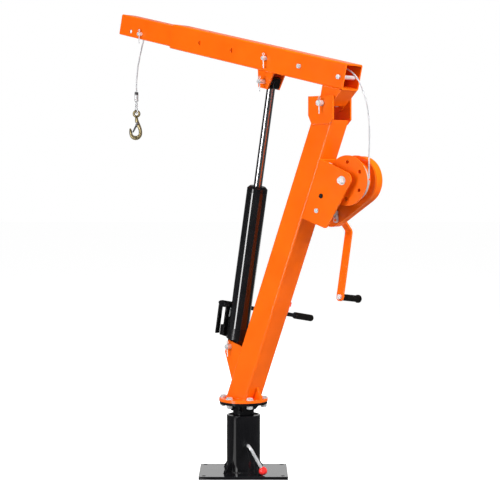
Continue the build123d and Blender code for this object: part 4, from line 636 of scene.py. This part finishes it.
def evenly(line, step):
    """A line's points again at an even step, with how far along each one is."""
    reach = [0.0]
    for before, after in zip(line, line[1:]):
        reach.append(reach[-1] + (after - before).length)
    count = max(2, round(reach[-1] / step))
    points, index = [], 0
    for number in range(count + 1):
        wanted = reach[-1] * number / count
        while index < len(line) - 2 and reach[index + 1] < wanted:
            index += 1
        share = (wanted - reach[index]) / max(reach[index + 1] - reach[index], 1e-9)
        points.append((line[index].lerp(line[index + 1], share), wanted))
    return points


def lay_rope(name, line, finish):
    """A rope along a line: strands that wind round it, each a small tube with its own unwrapped skin."""
    stops = evenly(line, LAY / STOPS_IN_LAY)
    side = (stops[1][0] - stops[0][0]).orthogonal().normalized()
    corners, faces, skin = [], [], []
    for index, (point, along) in enumerate(stops):
        before, after = stops[max(index - 1, 0)][0], stops[min(index + 1, len(stops) - 1)][0]
        way = (after - before).normalized()
        side = (side - way * side.dot(way)).normalized()
        over = way.cross(side)
        for strand in range(STRANDS):
            turn = TURN * (strand / STRANDS + along / LAY)
            out = side * math.cos(turn) + over * math.sin(turn)
            round_way = over * math.cos(turn) - side * math.sin(turn)
            own_way = (way * LAY + round_way * TURN * STRAND_OUT).normalized()
            across = own_way.cross(out)
            for corner in range(STRAND_SIDES):
                angle = TURN * corner / STRAND_SIDES
                offset = out * math.cos(angle) + across * math.sin(angle)
                corners.append(point + out * STRAND_OUT + offset * STRAND_R)
    ring = STRANDS * STRAND_SIDES
    for index in range(len(stops) - 1):
        for strand in range(STRANDS):
            base = index * ring + strand * STRAND_SIDES
            for corner in range(STRAND_SIDES):
                following = (corner + 1) % STRAND_SIDES
                faces.append((base + corner, base + following, base + ring + following, base + ring + corner))
                low, high = corner / STRAND_SIDES, (corner + 1) / STRAND_SIDES
                start, end = stops[index][1] / ROPE, stops[index + 1][1] / ROPE
                skin += [(low, start), (high, start), (high, end), (low, end)]
    for base, order in ((0, -1), ((len(stops) - 1) * ring, 1)):
        for strand in range(STRANDS):
            first = base + strand * STRAND_SIDES
            faces.append(tuple(range(first, first + STRAND_SIDES))[::order])
            skin += [(0.5, 0)] * STRAND_SIDES
    mesh = bpy.data.meshes.new(name)
    mesh.from_pydata(corners, [], faces)
    unwrapped = mesh.uv_layers.new(name="strand")
    for loop, spot in zip(unwrapped.data, skin):
        loop.uv = spot
    mesh.shade_smooth()
    mesh.materials.append(finish)
    piece = bpy.data.objects.new(name, mesh)
    bpy.context.collection.objects.link(piece)
    return piece


def galvanised(name):
    """Galvanised wire: seven wires twisted in every strand, dull grey, with painted shade darkening the
    grooves between the wires.
    """
    finish, nodes, links, shader = blank_finish(name)
    shader.inputs["Metallic"].default_value = 0.4
    skin = nodes.new("ShaderNodeUVMap")
    skin.uv_map = "strand"
    twist = nodes.new("ShaderNodeVectorMath")
    twist.operation = "DOT_PRODUCT"
    twist.inputs[1].default_value = (6 * math.pi, 1.4 * math.pi, 0)
    links.new(skin.outputs["UV"], twist.inputs[0])
    wave = nodes.new("ShaderNodeMath")
    wave.operation = "SINE"
    links.new(twist.outputs["Value"], wave.inputs[0])
    wires = nodes.new("ShaderNodeMath")
    wires.operation = "ABSOLUTE"
    links.new(wave.outputs["Value"], wires.inputs[0])
    # Painted shade: the colour goes dark in the grooves between the wires and pale on their crowns.
    colour = shades(nodes, links, wires.outputs["Value"], (0.0, (0.2, 0.2, 0.21)), (0.4, (0.76, 0.77, 0.79)))
    links.new(colour, shader.inputs["Base Color"])
    links.new(between(nodes, links, noise(nodes, links, 300, 3), 0.3, 0.5), shader.inputs["Roughness"])
    bump = nodes.new("ShaderNodeBump")
    bump.inputs["Strength"].default_value = 0.5
    bump.inputs["Distance"].default_value = 0.0002
    links.new(wires.outputs["Value"], bump.inputs["Height"])
    links.new(bump.outputs["Normal"], shader.inputs["Normal"])
    return finish


rope_wire = galvanised("galvanised_wire")

# Turns on the drum: four of them side by side, leaving the drum at its rear and going up.
# They are the same rope, laid tight on the drum's core.
DRUM_AHEAD, DRUM_UP = -437.667, 948.53
WOUND_R = 62
WOUND_FAR, WOUND_PITCH = 8.5, 5.5
TURNS = 4
TURN_POINTS = 16
wound = []
for step in range(TURNS * TURN_POINTS + 1):
    turns_left = TURNS - step / TURN_POINTS
    angle = math.pi + TURN * turns_left
    reach = WOUND_R / math.cos(math.pi / TURN_POINTS)
    far = WOUND_FAR - WOUND_PITCH * turns_left
    wound.append(on_side(DRUM_AHEAD + reach * math.cos(angle), DRUM_UP + reach * math.sin(angle), far))
winding_rope = lay_rope("rope_winding", smooth_line(wound), rope_wire)
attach(winding_rope, "drum")
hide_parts("cable_winding")

# Rear run: slack rope from the drum up into the boom's open end, arched by its own
# stiffness.
rear_points = []
for ahead, up, far in (
    (-499.67, 954.13, 8.5), (-500.17, 1006.53, 7), (-503.67, 1066.53, 5), (-505.17, 1124.53, 3),
    (-497.67, 1180.53, 1), (-480.17, 1224.03, 0),
):
    rear_points.append(on_side(ahead, up, far))
rear_points += [on_boom(-17, 44.5), on_boom(16, 60), on_boom(54, 65.5), on_boom(92, 64)]
rear_line = smooth_line(rear_points)
rear_rope = lay_rope("rope_rear", rear_line, rope_wire)
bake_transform(rear_rope)
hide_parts("cable_rear")

# Runs inside the two booms and over the tip roller, held straight by the tubes they pass.
# Only their ends can be seen, through the boom's openings.
boom_line = smooth_line([on_boom(92, 64), on_boom(211, 56.5), on_boom(330, 49.03)])
boom_rope = lay_rope("rope_boom", boom_line, rope_wire)
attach(boom_rope, "boom")
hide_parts("cable_boom")
inner_points = [on_boom(330, 49.03), on_boom(837, 38.8), on_boom(883.8, 38.8)]
inner_points += [on_boom(905.58, 38.8), on_boom(910.41, 31.35)]
inner_rope = lay_rope("rope_inner", smooth_line(inner_points), rope_wire)
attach(inner_rope, "inner")
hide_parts("cable_inner")

# Drop: the free end, hanging from the tip in a slack bow and turned back into an eye,
# which a pressed alloy ferrule closes. The ferrule's top is dark from the press.
HOOK_AHEAD, HOOK_EYE_UP = 496, 1178
drop_points = []
for ahead, up in ((450.6, 1449.49), (463.39, 1419.35), (476, 1382), (489, 1337), (496, 1294), (496, 1252)):
    drop_points.append(on_side(ahead, up))
drop_line = smooth_line(drop_points)
drop_rope = lay_rope("rope_drop", drop_line, rope_wire)
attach(drop_rope, "drop")
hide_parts("cable_drop")

hook_eye = on_side(HOOK_AHEAD, HOOK_EYE_UP)
loop_points = []
LOOP_TURN = math.radians(24)
LOOP_HALF, NECK_HALF = 9.5, 3.4
loop_side = Vector((-math.sin(LOOP_TURN), math.cos(LOOP_TURN), 0))
for across, rise in (
    (NECK_HALF, 42), (NECK_HALF, 37), (LOOP_HALF, 21.4), (LOOP_HALF, 2.4),
    (-LOOP_HALF, 2.4), (-LOOP_HALF, 21.4), (-NECK_HALF, 37), (-NECK_HALF, 42),
):
    loop_points.append(hook_eye + (loop_side * across + upward * rise) * MM)
loop_rope = lay_rope("rope_loop", smooth_line(loop_points), rope_wire)
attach(loop_rope, "drop")
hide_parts("cable_loop")
PRESS_MARK_UP, PRESS_MARK_HALF = 1.2415, 0.0006
PRESS_RING = 4 * MM


def pressed(name):
    """Pressed alloy, pale below and darkened above the press mark, with the press's rings in it."""
    finish, nodes, links, shader = blank_finish(name)
    shader.inputs["Metallic"].default_value = 0.6
    place = nodes.new("ShaderNodeTexCoord")
    split = nodes.new("ShaderNodeSeparateXYZ")
    links.new(place.outputs["Object"], split.inputs["Vector"])
    height = split.outputs["Z"]
    mark_low, mark_high = PRESS_MARK_UP - PRESS_MARK_HALF, PRESS_MARK_UP + PRESS_MARK_HALF
    upper = between(nodes, links, height, 0, 1, mark_low, mark_high)
    blotch = noise(nodes, links, 90, 4)
    pale = shades(nodes, links, blotch, (0.3, (0.62, 0.62, 0.63)), (0.7, (0.8, 0.8, 0.81)))
    links.new(blended(nodes, links, upper, pale, (0.12, 0.12, 0.125)), shader.inputs["Base Color"])
    links.new(between(nodes, links, noise(nodes, links, 260, 3), 0.26, 0.42), shader.inputs["Roughness"])
    rings = sum_of(nodes, links, "SINE", sum_of(nodes, links, "MULTIPLY", height, TURN / PRESS_RING), 0)
    normal, _ = soft_edges(nodes, links, 0.0007)
    relief(nodes, links, shader, rings, normal, 0.0003, 0.4)
    return finish


dress(pressed("pressed_alloy"), "cable_ferrule")

# Hook: a drop-forged eye hook, plated yellow zinc, with a pressed steel latch.
# Its bowl swells at the back and foot, and tapers to the tip.
yellow_zinc = plated("yellow_zinc", (0.24, 0.18, 0.07), (0.52, 0.44, 0.25), 0.2, 180, metal=0.8, blotches=90)
BAR_SIDES = 20
EYE_RING_R, EYE_WIRE_R, EYE_STEPS = 9.5, 4, 32
BOWL_ACROSS, BOWL_UP, BOWL_OUTER = -3, -68.5, 22.5
HOOK_DEEP, DEEP_SHARE = 5.4, 1.15


def forged_bar(rings, closed):
    """Corners and faces of a bar through rings, each a middle point, two ways and a half size along each."""
    corners, faces = [], []
    for middle, first_way, first_half, second_way, second_half in rings:
        for step in range(BAR_SIDES):
            angle = TURN * step / BAR_SIDES
            reach = first_way * (first_half * math.cos(angle)) + second_way * (second_half * math.sin(angle))
            corners.append(hook_eye + (middle + reach) * MM)
    for ring in range(len(rings) if closed else len(rings) - 1):
        low, high = ring * BAR_SIDES, (ring + 1) % len(rings) * BAR_SIDES
        for step in range(BAR_SIDES):
            following = (step + 1) % BAR_SIDES
            faces.append((low + step, low + following, high + following, high + step))
    if not closed:
        last = (len(rings) - 1) * BAR_SIDES
        faces.append(tuple(range(BAR_SIDES))[::-1])
        faces.append(tuple(range(last, last + BAR_SIDES)))
    return corners, faces


hook_line = [(0, -10, 4.6), (0, -16, 5.2), (0.3, -23, 6.2), (2.2, -30, 6.9), (6, -38, 6.6), (9.8, -46, 6.2)]
hook_line += [(12.4, -54, 6), (13.4, -62, 6)]
BOWL_SWELL = ((0, 6), (30, 6.6), (60, 7.4), (90, 7.8), (115, 7.4), (140, 6.6), (165, 5.7))
for turned, half in BOWL_SWELL:
    out_r = BOWL_OUTER - half
    down = math.radians(turned)
    hook_line.append((BOWL_ACROSS + out_r * math.cos(down), BOWL_UP - out_r * math.sin(down), half))
hook_line += [(-20.2, -63, 5.2), (-20.8, -58, 4.6), (-21.5, -53.5, 3.7), (-22, -51, 2.6), (-22.3, -49.8, 1.2)]
bar_rings = []
depth_way = Vector((0, 1, 0))
for index, (x, up, half) in enumerate(hook_line):
    before, after = hook_line[max(index - 1, 0)], hook_line[min(index + 1, len(hook_line) - 1)]
    way = Vector((after[0] - before[0], 0, after[1] - before[1])).normalized()
    across_way = Vector((way.z, 0, -way.x))
    bar_rings.append((Vector((x, 0, up)), across_way, half, depth_way, min(HOOK_DEEP, half * DEEP_SHARE)))
eye_rings = []
for step in range(EYE_STEPS):
    eye_turn = TURN * step / EYE_STEPS
    out = Vector((math.cos(eye_turn), 0, math.sin(eye_turn)))
    eye_rings.append((out * EYE_RING_R, out, EYE_WIRE_R, depth_way, EYE_WIRE_R))
bar_corners, bar_faces = forged_bar(bar_rings, False)
eye_corners, eye_faces = forged_bar(eye_rings, True)
shift = len(bar_corners)
shifted_faces = [tuple(shift + corner for corner in face) for face in eye_faces]
forging_mesh = bpy.data.meshes.new("hook_forging")
forging_mesh.from_pydata(bar_corners + eye_corners, [], bar_faces + shifted_faces)
shaping = bmesh.new()
shaping.from_mesh(forging_mesh)
bmesh.ops.recalc_face_normals(shaping, faces=shaping.faces)
shaping.to_mesh(forging_mesh)
shaping.free()
forging_mesh.shade_smooth()
forging_mesh.materials.append(yellow_zinc)
forging = bpy.data.objects.new("hook_forging", forging_mesh)
bpy.context.collection.objects.link(forging)
rounding = forging.modifiers.new("rounding", "SUBSURF")
rounding.levels = rounding.render_levels = 1
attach(forging, "hook")
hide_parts("hook")
latch_steel = plated("latch_steel", (0.3, 0.3, 0.32), (0.46, 0.46, 0.48), 0.22, 260)
dress(latch_steel, "hook_latch")

# Studio: a pale floor and a white sweep, which polished pieces mirror as a dim room with
# two white cards in it. Six soft lamps light it, and a long lens looks from the front.
scene = bpy.context.scene
scene.view_settings.view_transform = "Standard"

floor_mesh = bpy.data.meshes.new("floor")
REACH = 30
FLOOR_LEVEL, FLOOR_GLOW, FLOOR_MIRRORED = -0.0004, 0.9, 0.08
floor_corners = [(-REACH, -REACH), (REACH, -REACH), (REACH, REACH), (-REACH, REACH)]
floor_mesh.from_pydata([(x, y, FLOOR_LEVEL) for x, y in floor_corners], [], [(0, 1, 2, 3)])
floor = bpy.data.objects.new("floor", floor_mesh)
scene.collection.objects.link(floor)
floor_paint = bpy.data.materials.new("floor_paint")
floor_paint.use_nodes = True
floor_nodes, floor_links = floor_paint.node_tree.nodes, floor_paint.node_tree.links
floor_nodes.clear()


def seen(nodes, links):
    """Two masks: rays that look straight or through glass, and rays mirrored in a shiny surface."""
    path = nodes.new("ShaderNodeLightPath").outputs
    straight = sum_of(nodes, links, "MAXIMUM", path["Is Camera Ray"], path["Is Transmission Ray"])
    return straight, path["Is Glossy Ray"]


matt = floor_nodes.new("ShaderNodeBsdfDiffuse")
matt.inputs["Color"].default_value = (0.45, 0.45, 0.45, 1)
glow = floor_nodes.new("ShaderNodeEmission")
straight, in_metal = seen(floor_nodes, floor_links)
floor_links.new(sum_of(floor_nodes, floor_links, "MULTIPLY", straight, FLOOR_GLOW), glow.inputs["Strength"])
whole = floor_nodes.new("ShaderNodeAddShader")
floor_links.new(matt.outputs["BSDF"], whole.inputs[0])
floor_links.new(glow.outputs["Emission"], whole.inputs[1])
mirrored = floor_nodes.new("ShaderNodeEmission")
mirrored.inputs["Strength"].default_value = FLOOR_MIRRORED
either = floor_nodes.new("ShaderNodeMixShader")
floor_links.new(in_metal, either.inputs[0])
floor_links.new(whole.outputs["Shader"], either.inputs[1])
floor_links.new(mirrored.outputs["Emission"], either.inputs[2])
out = floor_nodes.new("ShaderNodeOutputMaterial")
floor_links.new(either.outputs["Shader"], out.inputs["Surface"])
floor_mesh.materials.append(floor_paint)


def card(name, corners, strength):
    """A white card that only shows in polished surfaces, as a studio's reflectors do."""
    paper = bpy.data.materials.new(name + "_paper")
    paper.use_nodes = True
    paper.node_tree.nodes.clear()
    paper_glow = paper.node_tree.nodes.new("ShaderNodeEmission")
    paper_glow.inputs["Strength"].default_value = strength
    paper_out = paper.node_tree.nodes.new("ShaderNodeOutputMaterial")
    paper.node_tree.links.new(paper_glow.outputs["Emission"], paper_out.inputs["Surface"])
    sheet = bpy.data.meshes.new(name)
    sheet.from_pydata(corners, [], [(0, 1, 2, 3)])
    sheet.materials.append(paper)
    board = bpy.data.objects.new(name, sheet)
    board.visible_camera = board.visible_diffuse = board.visible_transmission = board.visible_shadow = False
    scene.collection.objects.link(board)


BACK_HALF, BACK_AT, BACK_TOP = 1.6, 1.6, 0.5
back_corners = ((-BACK_HALF, 0), (BACK_HALF, 0), (BACK_HALF, BACK_TOP), (-BACK_HALF, BACK_TOP))
card("back_card", [(x, BACK_AT, up) for x, up in back_corners], 1)
CARD_LEVEL = -0.0002
CARD_NEAR, CARD_FAR = 0.15, 1.2
NEAR_HALF, FAR_HALF = 0.05, 0.15
card_way, card_side = Vector((-0.87, -0.5, 0)), Vector((-0.5, 0.87, 0))
post_card = []
for reach, across in (
    (CARD_NEAR, -NEAR_HALF), (CARD_FAR, -FAR_HALF), (CARD_FAR, FAR_HALF), (CARD_NEAR, NEAR_HALF),
):
    post_card.append(card_way * reach + card_side * across + upward * CARD_LEVEL)
card("post_card", post_card, 1.4)

SWEEP_WAY, SWEEP_START = (0, 1, -0.5), 0.8
ROOM_DIM, ROOM_LIGHT = 0.04, 0.2
world = bpy.data.worlds.new("surround")
scene.world = world
world.use_nodes = True
world_nodes, world_links = world.node_tree.nodes, world.node_tree.links
surround = world_nodes["Background"]
straight, in_metal = seen(world_nodes, world_links)
look = world_nodes.new("ShaderNodeTexCoord")
behind = world_nodes.new("ShaderNodeVectorMath")
behind.operation = "DOT_PRODUCT"
behind.inputs[1].default_value = SWEEP_WAY
world_links.new(look.outputs["Generated"], behind.inputs[0])
room = between(world_nodes, world_links, behind.outputs["Value"], ROOM_DIM, 1, SWEEP_START, 1)
any_seen = sum_of(world_nodes, world_links, "MAXIMUM", straight, in_metal)
in_room = sum_of(world_nodes, world_links, "MULTIPLY", in_metal, room)
shown = sum_of(world_nodes, world_links, "ADD", straight, in_room)
lit = between(world_nodes, world_links, any_seen, ROOM_LIGHT, 0, 0, 1)
world_links.new(sum_of(world_nodes, world_links, "ADD", shown, lit), surround.inputs["Strength"])
surround.inputs["Color"].default_value = (1, 1, 1, 1)

AIM = Vector((0, 0, 0.8))
for lamp_name, spot, wide, tall, power, mirrored_too in (
    ("left_strip", (-1.3, -1.15, 0.9), 0.4, 1.8, 22, True),
    ("left_softbox", (-2.6, -2.5, 2.2), 1.6, 1.6, 48, False),
    ("right_softbox", (2.0, -1.3, 2.8), 1.6, 2.0, 165, False),
    ("right_card", (2.0, -2.4, 1.3), 0.9, 2.4, 4, True),
    ("top_softbox", (0, -0.3, 3.6), 2.0, 2.0, 25, False),
    ("back_softbox", (0.4, 3.0, 2.4), 1.6, 1.6, 80, False),
):
    light = bpy.data.lights.new(lamp_name, "AREA")
    light.shape = "RECTANGLE"
    light.size = wide
    light.size_y = tall
    light.energy = power
    lamp = bpy.data.objects.new(lamp_name, light)
    lamp.location = spot
    lamp.visible_glossy = mirrored_too
    lamp.rotation_euler = (AIM - Vector(spot)).to_track_quat("-Z", "Y").to_euler()
    scene.collection.objects.link(lamp)

lens = bpy.data.cameras.new("camera")
lens.lens = 105.45
lens.sensor_width = 36
camera = bpy.data.objects.new("camera", lens)
camera.location = (0.0211, -4.7155, 0.9442)
camera.rotation_euler = (math.radians(87.34), 0, 0)
scene.collection.objects.link(camera)
scene.camera = camera
